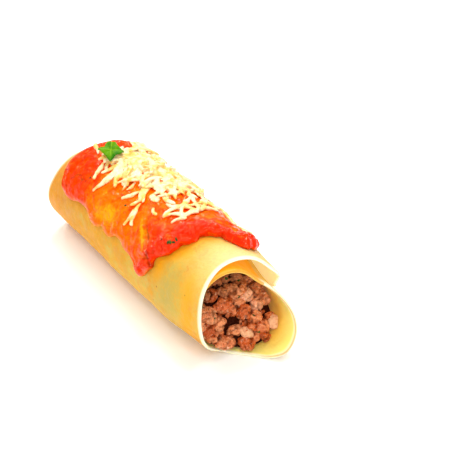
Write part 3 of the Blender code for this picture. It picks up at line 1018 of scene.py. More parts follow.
@dataclass
class Filling:
    """Minced meat through the roll, with its crumbs; the herbs and onion on it are made as bits."""

    form: RollForm
    finish: MeatFinish = MeatFinish()
    faces: dict[Side, SlantedFace] = field(default_factory=lambda: {
        Side.FRONT: SlantedFace(-0.0465, 0.25, 0.38, 40.0),
        Side.REAR: SlantedFace(0.0500, 0.0, -0.22, 0.0),
    })
    crumb_counts: dict[Side, int] = field(default_factory=lambda: {Side.FRONT: 38, Side.REAR: 12})
    crumb_radii: Span = (0.0036, 0.0021)
    fine_from: float = 0.0030
    crumb_stretch: tuple[Span, Span, Span] = ((0.85, 1.25), (0.8, 1.1), (0.8, 1.15))
    crumb_offset: Span = (-0.0009, 0.0011)
    drawn_in: float = 0.08
    most_tries: int = 4000
    seed: int = 5
    tint_seed: int = 23
    filler_seed: int = 17
    crowding: float = 0.72
    unevenness: float = 0.32
    grain_often: float = 460.0
    grain_height: float = 0.0012
    grain_reach: float = 0.85
    wander: float = 0.0007
    fine_grain: float = 0.0004
    fat_spots: Curve = ((0.0095, 0.0180),)
    fat_reach: float = 0.0035
    # Painted shade. These set how far behind the face the meat turns dark, and how much darker its
    # creases, undersides and top under the flap are painted.
    shade_behind_face: Span = (0.0006, 0.0032)
    crease_shade: float = 0.55
    shade_below: float = 0.4
    shade_under_fold: float = 0.62
    fold_above: float = 0.0095
    filler_counts: dict[Side, int] = field(
        default_factory=lambda: {Side.FRONT: 64, Side.REAR: 140}
    )
    filler_radii: Span = (0.0008, 0.0018)
    filler_depths: Span = (0.0009, 0.0034)
    filler_stretch: Span = (0.8, 1.3)
    rear_forward: float = 0.0010
    core_sides: int = 72
    core_rings: int = 14
    core_cuts: int = 20
    core_inset: float = 0.0006
    core_recess: float = 0.0012
    core_relief: float = 0.0008
    core_lumps_a_metre: float = 420

    def kept_inside(self, points: Numbers) -> Numbers:
        """Draws points in towards the axis until they are clear of the sheet.

        Args:
            points: rows of three coordinates.

        Returns:
            The points, moved where they had to be.
        """
        form = self.form
        rise = points[:, 2] - form.axis_z
        angle = np.arctan2(rise, points[:, 0])
        floor = form.sheet + form.piece_gap
        edge = form.around(angle, form.free_radius(angle, points[:, 1]), points[:, 1], floor)
        allowed = np.hypot(edge[:, 0], edge[:, 2] - form.axis_z)
        share = np.minimum(1.0, allowed / np.maximum(np.hypot(points[:, 0], rise), 1e-9))
        return np.stack([points[:, 0] * share, points[:, 1],
                         np.maximum(form.axis_z + rise * share, floor)], axis=-1)

    def depth_behind(self, side: Side, points: Numbers) -> Numbers:
        """How far points lie behind one end's slanted face.

        Args:
            side: the end.
            points: rows of three coordinates.

        Returns:
            Distances in metres, negative ahead of the face.
        """
        face = self.faces[side]
        rise = points[:, 2] - self.form.axis_z
        lean = face.per_x * points[:, 0] + face.per_z * rise
        place = face.middle + lean + face.twist * points[:, 0] * np.minimum(rise, 0.0)
        return (points[:, 1] - place) * (1 if side is Side.FRONT else -1)

    def core(self) -> Piece:
        """Makes the body of meat that the crumbs lie on, painted fully dark as the shade between
        them.

        Returns:
            The core's object.
        """
        deselect()
        bpy.ops.mesh.primitive_cylinder_add(
            vertices=self.core_sides, radius=1, depth=1, end_fill_type="TRIFAN"
        )
        core = named("meat_core")
        for end in (-0.5, 0.5):
            pick(core, "FACE", lambda points, end=end: np.all(np.abs(points[:, 2] - end) < 0.1))
            for _ in range(self.core_rings):
                bpy.ops.mesh.inset(thickness=0.9 / self.core_rings)
            bpy.ops.object.mode_set(mode="OBJECT")
        pick(core, "EDGE", lambda points: np.ptp(points[:, 2]) > 0.5)
        bpy.ops.mesh.subdivide(number_cuts=self.core_cuts)
        bpy.ops.object.mode_set(mode="OBJECT")
        unit = points_of(core)
        angle = np.arctan2(unit[:, 1], unit[:, 0])
        share, along = np.hypot(unit[:, 0], unit[:, 1]), unit[:, 2] + 0.5
        front, rear = self.faces[Side.FRONT], self.faces[Side.REAR]
        y = front.middle + (rear.middle - front.middle) * along
        for _ in range(2):
            radius = share * (self.form.free_radius(angle, y) - self.core_inset)
            points = self.form.around(angle, radius, y, self.form.sheet + self.form.piece_gap)
            start = -self.depth_behind(Side.FRONT, points * [1, 0, 1]) + self.core_recess
            end = self.depth_behind(Side.REAR, points * [1, 0, 1]) - self.core_recess
            y = start + (end - start) * along
        lumps = self.core_relief * noise_at(points * [1, 0, 1], self.core_lumps_a_metre)
        lumps = lumps * (share < 0.97)
        points[:, 1] = y + np.where(along < 0.01, lumps, np.where(along > 0.99, -lumps, 0.0))
        set_points(core, points)
        # The core is painted fully dark, as painted shade between the lumps.
        mark(core, tone=0.2, fat=0.0, deep=1.0)
        return core

    def crumb(self, ball: Piece, centre: Vector, radius: float, stretch: Vector,
              side: Side, draw: random.Random) -> Piece:
        """Copies the ball into one lump of minced meat with a grainy surface.

        Args:
            ball: a round mesh of radius 1.
            centre: the lump's middle.
            radius: its size.
            stretch: how much longer it is along each axis.
            side: the end of the roll it lies at.
            draw: the source of its own tint.

        Returns:
            The lump's object.
        """
        lump = copied(ball)
        unit = points_of(lump)
        middle = np.array(centre)
        swell = 1 + self.unevenness * noise_at(unit * 1.1 + middle * 700, 1.0)
        points = middle + unit * radius * np.array(stretch) * swell[:, None]
        wandering = points + self.wander * noise_at(points, 520)[:, None]
        grains = seed_distance(wandering, self.grain_often)
        domes = dome(grains, self.grain_reach) - 0.8
        fine = self.fine_grain * noise_at(points, 1150)
        points += unit * (self.grain_height * domes + fine)[:, None]
        set_points(lump, self.kept_inside(points))
        kept, shown = points_of(lump), side is Side.FRONT
        fat = max(1 - math.dist((centre.x, centre.z), spot) / self.fat_reach
                  for spot in self.fat_spots)
        # Painted shade: darker behind the face, in the grains' creases, on undersides and, at the
        # front, near the top under the flap.
        deep = (smoothstep(*self.shade_behind_face, self.depth_behind(side, kept))
                + self.crease_shade * smoothstep(0.5, self.grain_reach, grains)
                + self.shade_below * smoothstep(0.1, -0.9, unit[:, 2]))
        under_fold = smoothstep(0.0, self.fold_above, kept[:, 2] - self.form.axis_z)
        mark(
            lump,
            tone=draw.random(),
            fat=min(max(1.6 * fat, 0.0), 1.0) if shown else 0.0,
            deep=np.clip(deep + self.shade_under_fold * under_fold * shown, 0.0, 1.0),
        )
        return lump

    def ball(self, level: int) -> Piece:
        """Adds a round mesh of radius 1.

        Args:
            level: its fineness.

        Returns:
            The ball.
        """
        deselect()
        bpy.ops.mesh.primitive_ico_sphere_add(subdivisions=level, radius=1)
        return named("ball")

    def drawn_place(self, side: Side, draw: random.Random, inset: float,
                    lowest: float) -> Vector:
        """Draws a place within the sheet, at the middle of one end.

        Args:
            side: the end.
            draw: the source of the place.
            inset: share of the way out that it may reach.
            lowest: its least height.

        Returns:
            The place.
        """
        y = np.array([self.faces[side].middle])
        angle = np.array([draw.uniform(-math.pi, math.pi)])
        reach = self.form.free_radius(angle, y) * math.sqrt(draw.random())
        return Vector(self.form.around(angle, reach * inset, y, lowest)[0])

    def crumbs(self, side: Side, draw: random.Random) -> list[Piece]:
        """Spreads the large lumps over one end, larger ones first and none on another.

        Args:
            side: the end of the roll.
            draw: the source of their places and forms.

        Returns:
            The lumps.
        """
        form, face, count = self.form, self.faces[side], self.crumb_counts[side]
        balls = {True: self.ball(5), False: self.ball(4)}
        tints = random.Random(self.tint_seed)
        spots: list[tuple[Vector, float]] = []
        lumps = []
        tries = 0
        while len(lumps) < count and tries < self.most_tries:
            tries += 1
            large, small = self.crumb_radii
            radius = large + (small - large) * len(lumps) / count
            point = self.drawn_place(side, draw, 1.0, form.sheet)
            point += (Vector((0, 0, form.axis_z)) - point) * self.drawn_in
            centre = Vector(self.kept_inside(np.array([point]))[0])
            rise = centre.z - form.axis_z
            centre.y = face.place(centre.x, rise) + draw.uniform(*self.crumb_offset)
            if any((centre - other).length < self.crowding * (radius + size)
                   for other, size in spots):
                continue
            spots.append((centre, radius))
            stretch = Vector([draw.uniform(*span) for span in self.crumb_stretch])
            close = side is Side.FRONT and radius > self.fine_from
            lumps.append(self.crumb(balls[close], centre, radius, stretch, side, tints))
        for ball in balls.values():
            bpy.data.objects.remove(ball)
        return lumps

    def fillers(self, side: Side, draw: random.Random) -> list[Piece]:
        """Scatters small lumps that lie between and behind the large ones.

        Args:
            side: the end of the roll.
            draw: the source of their places and forms.

        Returns:
            The small lumps.
        """
        form, face = self.form, self.faces[side]
        ball = self.ball(3)
        lumps = []
        back = 1 if side is Side.FRONT else -1
        for _ in range(self.filler_counts[side]):
            centre = self.drawn_place(side, draw, 0.95, form.sheet * 2)
            radius = draw.uniform(*self.filler_radii)
            behind = draw.uniform(*self.filler_depths) - self.rear_forward * (side is Side.REAR)
            centre.y = face.place(centre.x, centre.z - form.axis_z) + back * behind
            stretch = Vector([draw.uniform(*self.filler_stretch) for _ in range(3)])
            lumps.append(self.crumb(ball, centre, radius, stretch, side, draw))
        bpy.data.objects.remove(ball)
        return lumps

    def build(self) -> Piece:
        """Puts the core and every lump together.

        Returns:
            The filling's object.
        """
        draw = random.Random(self.seed)
        lumps = self.crumbs(Side.FRONT, draw) + self.crumbs(Side.REAR, draw)
        scatter = random.Random(self.filler_seed)
        for side in Side:
            lumps += self.fillers(side, scatter)
        meat = joined([self.core(), *lumps], "filling")
        outward(meat)
        return meat

    def dress(self, meat: Piece) -> None:
        """Gives the meat its finish."""
        placed(meat, self.finish.material(), "filling", "filling")


@dataclass(frozen=True)
class BitFinish:
    """A small bit of herb or onion: one colour that varies softly."""

    name: str
    light: Colour
    dark: Colour
    see_through: float
    mottle: Grain = Grain(900, 3, low=0.35, high=0.7)
    skin: Grain = Grain(1500)
    skin_depth: float = 0.00008

    def material(self) -> Material:
        """Makes the finish's material.

        Returns:
            The material.
        """
        mix = Recipe(self.name)
        return mix.done({
            "Base Color": mix.blend(mix.mask(self.mottle), self.light, self.dark),
            "Normal": mix.relief(mix.grain(self.skin), self.skin_depth),
            "Roughness": 0.4, "Subsurface Weight": self.see_through, "Specular IOR Level": 0.15,
            "Subsurface Radius": (1.0, 0.9, 0.6), "Subsurface Scale": 0.001,
        })


@dataclass
class Bits:
    """Chopped herb or onion that lies on the meat or the sauce."""

    finish: BitFinish
    size: tuple[float, float, float]
    sink: float
    raggedness: float = 0.3
    curl: float = 0.3

    def build(self, carrier: Piece, spots: Triples,
              landing: Landing) -> list[Piece]:
        """Cuts flat curled bits and lets each one come to lie on what carries it.

        Args:
            carrier: the piece that carries them.
            spots: rows of the two numbers of a start and a turn in degrees.
            landing: the way they take.

        Returns:
            The bits.
        """
        parts = []
        for index, (across, other, turn) in enumerate(spots):
            start = landing.start(across, other)
            found, place, normal, _ = carrier.ray_cast(start, Vector(landing.value))
            if not found:
                continue
            deselect()
            bpy.ops.mesh.primitive_ico_sphere_add(subdivisions=4, radius=0.5)
            bit = named(self.finish.name)
            unit = points_of(bit)
            jag = 1 + self.raggedness * noise_at(unit * [2.2, 0.3, 2.2] + index * 3.1, 1.0)
            points = unit * jag[:, None] * self.size
            bow = unit[:, 0] ** 2 + 0.6 * unit[:, 2] * unit[:, 0]
            points[:, 1] += self.curl * self.size[0] * bow
            lean = (-normal).to_track_quat("Y", "Z").to_matrix()
            spun = lean @ Matrix.Rotation(math.radians(turn), 3, "Y")
            set_points(bit, points @ np.array(spun).T + np.array(place - normal * self.sink))
            parts.append(bit)
        return parts

    def dress(self, parts: list[Piece]) -> None:
        """Joins the bits and gives them their finish."""
        bits = joined(parts, self.finish.name)
        outward(bits)
        placed(bits, self.finish.material(), "filling")


# Rows of the two numbers that Landing.start takes, and a turn in degrees.
HERB_SPOTS = (
    (0.0073, 0.0137, 20), (0.0077, 0.0077, -35), (0.0081, 0.0030, 60), (-0.0005, 0.0290, 10),
    (0.0032, 0.0211, 80), (-0.0002, 0.0078, -20), (-0.0090, 0.0180, 50), (0.0120, 0.0190, 15),
    (-0.0060, 0.0110, -60), (0.0050, 0.0262, 35),
)
ONION_SPOTS = ((0.0033, 0.0086, 25), (0.0139, 0.0106, 80))
SAUCE_HERB_SPOTS = (
    (-0.0150, -0.0274, 20), (-0.0143, -0.0282, 70), (-0.0134, -0.0289, -30),
    (-0.0125, -0.0294, 45), (-0.0152, -0.0236, 10), (0.0030, -0.0290, 60),
    (-0.0140, 0.0060, -50), (-0.0150, 0.0330, 25), (0.0120, -0.0180, 0), (0.0150, 0.0250, 35),
)
HERB = BitFinish("herb_bits", (70, 96, 20), (22, 44, 8), 0.1)
ONION = BitFinish("onion_bits", (232, 178, 134), (206, 132, 94), 0.5)


# -------- the sauce


@dataclass(frozen=True)
class SauceFinish:
    """Wet tomato sauce: orange where it is thin, red where it is thick, with flecks of herb, darker
    patches towards the rear and painted shade in the crease by the drip.
    """

    thin: Colour = (255, 158, 14)
    orange: Colour = (255, 110, 0)
    red: Colour = (252, 62, 0)
    deep: Colour = (232, 32, 0)
    # Dark red-brown: patches towards the rear, and painted shade in the crease.
    dark: Colour = (128, 30, 12)
    herb: Colour = (92, 60, 16)
    clouds: Grain = Grain(230, 4, 0.65, 0.8)
    cloud_share: float = 1.1
    orange_from: Span = (0.55, 0.95)
    red_from: Span = (0.95, 1.3)
    deep_from: Span = (1.3, 1.7)
    deep_share: float = 0.8
    pulp: Grain = Grain(430, 4, 0.65, 0.9, low=0.52, high=0.68)
    pulp_share: float = 0.5
    bright: Grain = Grain(310, 3, 0.6, 0.6, low=0.56, high=0.68)
    bright_share: float = 0.4
    # Patches that darken the sauce towards the rear.
    stale: Grain = Grain(210, 4, 0.6, 1.2, low=0.5, high=0.66)
    stale_share: float = 0.5
    # How dark the painted shade in the crease is.
    crease_shade_share: float = 0.6
    flecks: Grain = Grain(760, 2, 0.5, 1.5, low=0.66, high=0.72)
    fleck_fields: Grain = Grain(150, 1, low=0.52, high=0.62)
    fleck_share: float = 0.45
    fine: Grain = Grain(900)
    fine_depth: float = 0.00006
    lumps: Grain = Grain(380, 2, 0.5, 0.5)
    lump_depth: float = 0.0004
    sheen: Grain = Grain(400, low=0.35, high=0.65)

    def material(self) -> Material:
        """Makes the finish's material.

        Returns:
            The material.
        """
        mix = Recipe("tomato_sauce")
        clouds = mix.times(mix.grain(self.clouds), self.cloud_share)
        depth = mix.plus(mix.stored("depth"), clouds)
        colour = mix.blend(mix.between(depth, *self.orange_from), self.thin, self.orange)
        flecks = mix.times(mix.mask(self.flecks), mix.mask(self.fleck_fields))
        for over, mask, share in (
            (self.red, mix.between(depth, *self.red_from), 1.0),
            (self.deep, mix.between(depth, *self.deep_from), self.deep_share),
            (self.deep, mix.mask(self.pulp), self.pulp_share),
            (self.orange, mix.mask(self.bright), self.bright_share),
            (self.dark, mix.times(mix.mask(self.stale), mix.stored("stale")), self.stale_share),
            # Painted shade down the crease between the lip's end and the drip.
            (self.dark, mix.stored("crease"), self.crease_shade_share),
            (self.herb, flecks, self.fleck_share),
        ):
            colour = mix.cover(colour, over, mask, share)
        fine = mix.relief(mix.grain(self.fine), self.fine_depth)
        return mix.done({
            "Base Color": colour,
            "Normal": mix.relief(mix.grain(self.lumps), self.lump_depth, fine),
            "Roughness": mix.mask(self.sheen, 0.06, 0.16),
            "Subsurface Weight": 0.15, "Subsurface Radius": (1.0, 0.18, 0.02),
            "Subsurface Scale": 0.0012,
            "Specular IOR Level": mix.between(mix.stored("wet"), 0.0, 1.0, 0.14, 0.42),
            "Specular Tint": (1.0, 0.56, 0.32, 1.0),
        })


@dataclass
class Sauce:
    """Tomato sauce over the roll's top and flanks."""

    form: RollForm
    finish: SauceFinish = SauceFinish()
    front: Curve = ((25, -0.0395), (50, -0.0445), (68, -0.0468), (80, -0.0410), (92, -0.0345),
                    (120, -0.0317), (138, -0.0278), (143, -0.0254), (150, -0.0262), (160, -0.0262))
    rear: Curve = ((25, 0.0440), (60, 0.0465), (100, 0.0490), (127, 0.0515), (160, 0.0500))
    left: float = 158.0
    right: float = 38.0
    left_drips: Triples = (
        (-0.0160, 0.0085, 9.0), (-0.0178, 0.0036, 7.5), (-0.0045, 0.0032, 4.0),
        (0.0085, 0.0038, 7.0), (0.0190, 0.0050, 8.5), (0.0410, 0.0060, 6.0),
    )
    right_drips: Triples = (
        (-0.0330, 0.0050, 12.0), (-0.0120, 0.0045, 15.0), (0.0050, 0.0040, 7.0),
        (0.0210, 0.0050, 13.0), (0.0370, 0.0040, 8.0),
    )
    drip_squareness: float = 2.6
    under: float = 0.0004
    thinnest: float = 0.0004
    depth: float = 0.0017
    lip: float = 0.0016
    lip_width: float = 0.0045
    edge: float = 0.0022
    corner: float = 0.0045
    crease: float = 148.2
    crease_y: float = -0.0211
    crease_run: float = 1835.0
    crease_width: float = 2.2
    crease_depth: float = 0.0014
    calm_right: Span = (36, 62)
    pulp_kinds: tuple[Span, ...] = ((0.0044, 6.0), (0.0016, 13.0))
    pulp_reach: float = 0.9
    pulp_inside: float = 0.0032
    thin_patch: Patch = Patch(0.0135, 0.0065, 147, 9)
    thin_streak: tuple[Span, Span] = ((-0.020, -0.016), (-0.010, -0.004))
    full_depth: float = 0.0046
    deep_rear: Span = (0.022, 0.040)
    stale_rear: Span = (0.018, 0.036)
    wet_front: Span = (0.018, 0.008)
    least_height: float = 0.0003
    edge_packing: float = 0.11
    columns: int = 165
    rows: int = 245

    def dripping(self, level: float, drips: Triples, y: Numbers) -> Numbers:
        """Roll angle of a side edge.

        Args:
            level: its angle, in degrees, between the drips.
            drips: rows of each drip's middle, width and depth.
            y: places along the roll.

        Returns:
            Angles in degrees.
        """
        return level + sum(
            depth * np.exp(-np.abs((y - middle) / width) ** self.drip_squareness)
            for middle, width, depth in drips
        )

    def front_edge(self, degrees: Numbers) -> Numbers:
        """Place along the roll of the wavy front edge at roll angles in degrees."""
        waves = 0.0006 * np.sin(0.31 * degrees + 1.0) + 0.00022 * np.sin(0.73 * degrees)
        return curve_through(self.front, degrees) + waves

    def around_roll(self, angle: Numbers, y: Numbers) -> Numbers:
        """Points on a roll of radius 1, for noise that runs round it without a seam."""
        return np.stack([np.cos(angle), y / self.form.roll_radius, np.sin(angle)], axis=-1)

    def place(self, across: Numbers, along: Numbers) -> tuple[Numbers, Numbers]:
        """Roll angle and place along the roll for points of the sauce's grid.

        Args:
            across: shares of the way from the left edge to the right one.
            along: shares of the way from the front to the rear.

        Returns:
            Roll angles, and places along the roll.
        """
        reference = self.left + (self.right - self.left) * across
        front = self.front_edge(reference)
        rear = curve_through(self.rear, reference)
        corner = self.corner * np.abs(2 * across - 1) ** 6
        y = (front + corner) + (rear - front - 2 * corner) * along
        left = self.dripping(self.left, self.left_drips, y)
        right = self.right - self.dripping(0.0, self.right_drips, y)
        return np.radians(left + (right - left) * across), y

    def edge_distances(self, angle: Numbers, y: Numbers) -> tuple[Numbers, Numbers]:
        """Distances from points to the front edge and to the nearest other edge.

        Args:
            angle: roll angles.
            y: places along the roll.

        Returns:
            Both distances in metres.
        """
        degrees = np.degrees(angle)
        front = y - self.front_edge(degrees)
        rear = curve_through(self.rear, degrees) - y
        left = self.dripping(self.left, self.left_drips, y) - degrees
        right = degrees - (self.right - self.dripping(0.0, self.right_drips, y))
        side = np.radians(np.minimum(left, right)) * self.form.roll_radius
        return front, np.minimum(rear, side)

    def top(self, angle: Numbers, y: Numbers) -> Numbers:
        """Height of the sauce's upper face above the crepe.

        Args:
            angle: roll angles.
            y: places along the roll.

        Returns:
            Heights in metres.
        """
        front, other = self.edge_distances(angle, y)
        near = np.clip(np.minimum(front, other) / self.edge, 0.0, 1.0)
        rim = np.sqrt(1 - (1 - near) ** 2)
        place = self.around_roll(angle, y)
        lumps = 0.00045 * noise_at(place, 3.2) + 0.0003 * noise_at(place, 6.5)
        lip = self.lip * hump(front, self.lip_width, self.lip_width)
        lip = lip * (1 - 0.8 * smoothstep(-5, 1, self.past_crease(angle, y)))
        lip = lip * (0.3 + 0.7 * smoothstep(*self.calm_right, np.degrees(angle)))
        return self.under + self.thinnest + rim * (self.depth - self.thinnest + lip + lumps)

    def pulp(self, angle: Numbers, y: Numbers) -> Numbers:
        """Height of the small lumps of tomato, larger near the front lip.

        Args:
            angle: roll angles.
            y: places along the roll.

        Returns:
            Heights in metres, some of them negative.
        """
        front, other = self.edge_distances(angle, y)
        place = self.around_roll(angle, y)
        place = place + 0.05 * noise_at(place, 9.0)[:, None]
        lumps = sum(height * (dome(seed_distance(place, often), self.pulp_reach) - 0.72)
                    for height, often in self.pulp_kinds)
        calm = smoothstep(*self.calm_right, np.degrees(angle))
        heavy = 0.22 + 0.78 * hump(front, 0.0, 0.011) * calm
        inside = smoothstep(0.0, self.pulp_inside, np.minimum(front, other))
        return inside * (heavy * lumps + 0.00016 * noise_at(place, 31.0)
                         - self.crease_depth * self.creased(angle, y))

    def past_crease(self, angle: Numbers, y: Numbers) -> Numbers:
        """How many degrees a point lies beyond the slanting crease, on the drip's side."""
        return np.degrees(angle) - self.crease + (y - self.crease_y) * self.crease_run

    def creased(self, angle: Numbers, y: Numbers) -> Numbers:
        """How much a point lies in the crease between the lip's end and the drip."""
        past = self.past_crease(angle, y)
        return hump(past, 0.0, self.crease_width) * smoothstep(-0.007, -0.0125, y)

    def thickness(self, angle: Numbers, y: Numbers, height: Numbers) -> Numbers:
        """How thick the sauce looks, for its colour.

        Args:
            angle: roll angles.
            y: places along the roll.
            height: heights above the crepe.

        Returns:
            Numbers from 0 to about 1.
        """
        front, _ = self.edge_distances(angle, y)
        past = self.past_crease(angle, y)
        lip = 0.45 * hump(front, 0.0, 0.009)
        lip += 0.3 * hump(front, 0.0, 0.019) * smoothstep(2, -4, past)
        streak = hump(past, 6, self.crease_width) * plateau(y, *self.thin_streak)
        return (height / self.full_depth + lip - 0.7 * streak
                - 0.65 * self.thin_patch.on(y, np.degrees(angle))
                + 0.35 * smoothstep(*self.deep_rear, y))

    def build(self) -> Piece:
        """Drapes a closed slab over the roll.

        Returns:
            The sauce's object.
        """
        sauce = add_slab("tomato_sauce", self.columns, self.rows)
        unit = points_of(sauce)
        across, along = (part + self.edge_packing * np.sin(math.tau * (part - 0.5))
                         for part in (unit[:, 0], unit[:, 1]))
        angle, y = self.place(across, along)
        top = self.top(angle, y) + self.pulp(angle, y)
        height = np.where(unit[:, 2] > 0.5, np.maximum(top, self.under + self.least_height),
                          self.under)
        set_points(sauce, self.form.over_roll(angle, y, height))
        mark(
            sauce,
            depth=self.thickness(angle, y, height),
            # Where the crease's painted shade falls.
            crease=self.creased(angle, y),
            # Darker in patches towards the rear.
            stale=smoothstep(*self.stale_rear, y),
            wet=smoothstep(*self.wet_front, self.edge_distances(angle, y)[0]),
        )
        outward(sauce)
        return sauce

    def dress(self, sauce: Piece) -> None:
        """Gives the sauce its finish."""
        placed(sauce, self.finish.material(), "tomato_sauce", "tomato_sauce")


# -------- the cheese


@dataclass(frozen=True)
class CheeseFinish:
    """Half-melted grated cheese: cream to pale yellow."""

    cream: Colour = (248, 228, 182)
    yellow: Colour = (240, 190, 90)
    patches: Grain = Grain(230, 3, 0.6, 0.5, low=0.4, high=0.64)
    crumble: Grain = Grain(1100, 3)
    crumble_depth: float = 0.00025
    sheen: Grain = Grain(500, low=0.3, high=0.7)

    def material(self) -> Material:
        """Makes the finish's material.

        Returns:
            The material.
        """
        mix = Recipe("grated_cheese")
        return mix.done({
            "Base Color": mix.blend(mix.mask(self.patches), self.cream, self.yellow),
            "Normal": mix.relief(mix.grain(self.crumble), self.crumble_depth),
            "Roughness": mix.mask(self.sheen, 0.3, 0.5),
            "Subsurface Weight": 0.4, "Subsurface Radius": (1.0, 0.8, 0.4),
            "Subsurface Scale": 0.0015, "Specular Tint": (1.0, 0.9, 0.7, 1.0),
        })


@dataclass(frozen=True)
class Shred:
    """One grated strip: where its middle lies, in degrees and millimetres, and how it runs."""

    angle: float
    y: float
    heading: float
    length: float
    width: float = 1.8
    lift: float = 0.0
    tip: float = 0.0
    bend: float = 0.0
    thickness: float = 1.15


def shreds_from(*rows: tuple[float, ...]) -> tuple[Shred, ...]:
    """Reads shreds from rows of their numbers, in the order of their fields."""
    return tuple(Shred(*row) for row in rows)


@dataclass
class Cheese:
    """Grated cheese: a heap along the ridge and single shreds in front of it and on the flanks."""

    form: RollForm
    sauce: Sauce
    finish: CheeseFinish = CheeseFinish()
    left_limit: Curve = (
        (-0.0040, 95), (0.0020, 97), (0.0090, 100), (0.0160, 110), (0.0220, 119), (0.0270, 115),
        (0.0340, 105), (0.0400, 98),
    )
    right_limit: Curve = ((-0.0040, 60), (0.0060, 47), (0.0250, 42), (0.0400, 58))
    count: int = 118
    bare_below: float = -0.22
    leaf_rest: tuple[Shred, ...] = shreds_from(
        (96.0, 33.0, 15, 9.0, 2.2, 0.8, 0.8), (102.0, 34.0, 80, 9.0, 2.0, 1.9),
        (99.0, 32.0, 130, 8.0, 2.0, 1.3), (98.0, 36.0, 60, 8.0, 2.0, 2.4),
        (103.0, 31.0, 40, 8.0, 2.0, 1.0, 0.6), (106.0, 34.5, 150, 8.0, 2.0, 1.9),
        (100.0, 34.5, 10, 7.0, 2.0, 1.6, 0.9), (94.0, 35.0, 110, 7.0, 1.8, 1.7),
    )
    layers: tuple[float, ...] = (0.1, 0.5, 1.1, 1.8)
    lengths: Span = (6.0, 13.0)
    widths: Span = (1.5, 2.4)
    thicknesses: Span = (0.9, 1.3)
    tips: Span = (-0.7, 0.7)
    bends: Span = (-0.22, 0.22)
    main_heading: Span = (125, 28)
    main_share: float = 0.6
    shorter_by_leaf: float = 0.7
    tapers: Span = (0.25, 0.6)
    twists: Span = (-0.9, 0.9)
    rolls: Span = (-0.3, 0.3)
    heap_seed: int = 31
    strip_seed: int = 7
    bed_depth: float = 0.0004
    bed_inset: float = 0.003
    bed_margin: float = 9
    bed_bumps: float = 0.0016
    clear_of_leaf: float = 0.008
    voxel: float = 0.00027
    single: tuple[Shred, ...] = shreds_from(
        (128.5, 25.0, 76, 8.0), (120.0, 32.0, 118, 8.0), (116.5, 25.5, 92, 9.0, 1.6),
        (104.0, 45.0, -20, 9.0, 1.6), (116.5, 8.0, 56, 8.5), (110.0, 12.2, 103, 4.5, 1.3),
        (118.5, 2.6, 60, 5.5, 1.6), (128.0, -1.5, 122, 9.5, 2.2, 0.0, 0.0, 0.12),
        (134.0, -0.4, 98, 6.5, 1.5, 0.0, 0.0, -0.15), (104.0, -1.5, 172, 5.5, 3.0),
        (101.5, 6.5, 127, 14.0, 2.1, 0.4, 0.0, 0.1), (104.5, 4.5, 139, 12.0, 1.8, 0.2),
        (95.0, 2.0, 178, 8.0, 1.5, 0.0, 0.0, -0.2), (95.5, -6.0, 176, 9.5, 1.8, 0.0, 0.0, 0.15),
        (82.0, -2.0, 150, 14.0, 1.7, 0.3, 0.0, 0.1), (104.0, -13.5, 105, 7.0, 2.0, 0.5),
        (103.0, -17.0, 40, 9.0, 2.2, 0.2, 0.0, 0.2),
        (79.0, -17.0, -62, 14.0, 2.0, 0.3, 0.0, 0.2),
        (87.0, -15.5, 10, 9.0, 1.6, 0.8, 0.0, -0.2), (79.5, -16.5, 160, 8.0, 1.4, 0.9),
        (104.0, -20.0, 70, 6.0, 1.2), (114.5, -8.4, 166, 5.0, 1.4),
        (60.0, -8.0, 165, 12.0, 1.8, 0.6), (55.0, -13.0, 150, 9.0, 1.8, 0.4),
        (66.0, -12.0, 130, 8.0, 1.5, 0.9), (50.0, 1.0, 170, 12.0, 1.8, 0.4),
        (70.0, -6.0, 155, 10.0, 1.6, 1.0, 0.0, 0.2), (63.0, -16.0, 20, 8.0, 1.8, 1.2),
        (54.0, -3.0, 140, 9.0, 1.6, 1.4), (74.0, 3.0, 145, 12.0, 1.8, 1.0),
        (58.0, -26.0, 172, 12.0, 2.0, 1.0), (56.0, -37.0, 165, 9.0, 1.8, 0.6),
        (96.0, -17.0, 150, 9.0, 1.5, 0.6), (91.0, -13.0, 60, 8.0, 1.4, 0.3),
        (84.0, -12.0, 120, 9.0, 1.5, 0.8), (73.0, -14.0, 100, 10.0, 1.5, 0.5),
        (70.0, -18.0, 45, 8.0, 1.5, 0.8), (92.0, -19.5, 80, 7.0, 1.4, 0.2),
        (98.0, -11.5, 20, 7.0, 1.4), (76.0, -9.5, 170, 8.0, 1.5, 0.5),
        (45.0, 12.0, 140, 10.0, 1.8), (36.0, -12.0, 20, 9.0, 1.7), (39.0, 20.5, 165, 9.0, 1.8),
        (41.0, -30.0, 60, 8.0, 1.6),
    )

    def strip(self) -> Piece:
        """Models one straight strip with round edges, one unit long, wide and thick.

        Returns:
            The strip.
        """
        deselect()
        bpy.ops.mesh.primitive_cube_add(size=1)
        strip = named("shred")
        pick(strip, "EDGE", lambda points: np.ptp(points[:, 1]) > 0.5)
        bpy.ops.mesh.subdivide(number_cuts=9)
        bpy.ops.object.mode_set(mode="OBJECT")
        refine(strip, 1)
        points = points_of(strip)
        reach = np.abs(points).max(axis=0)
        set_points(strip, points * 0.5 / reach)
        return strip

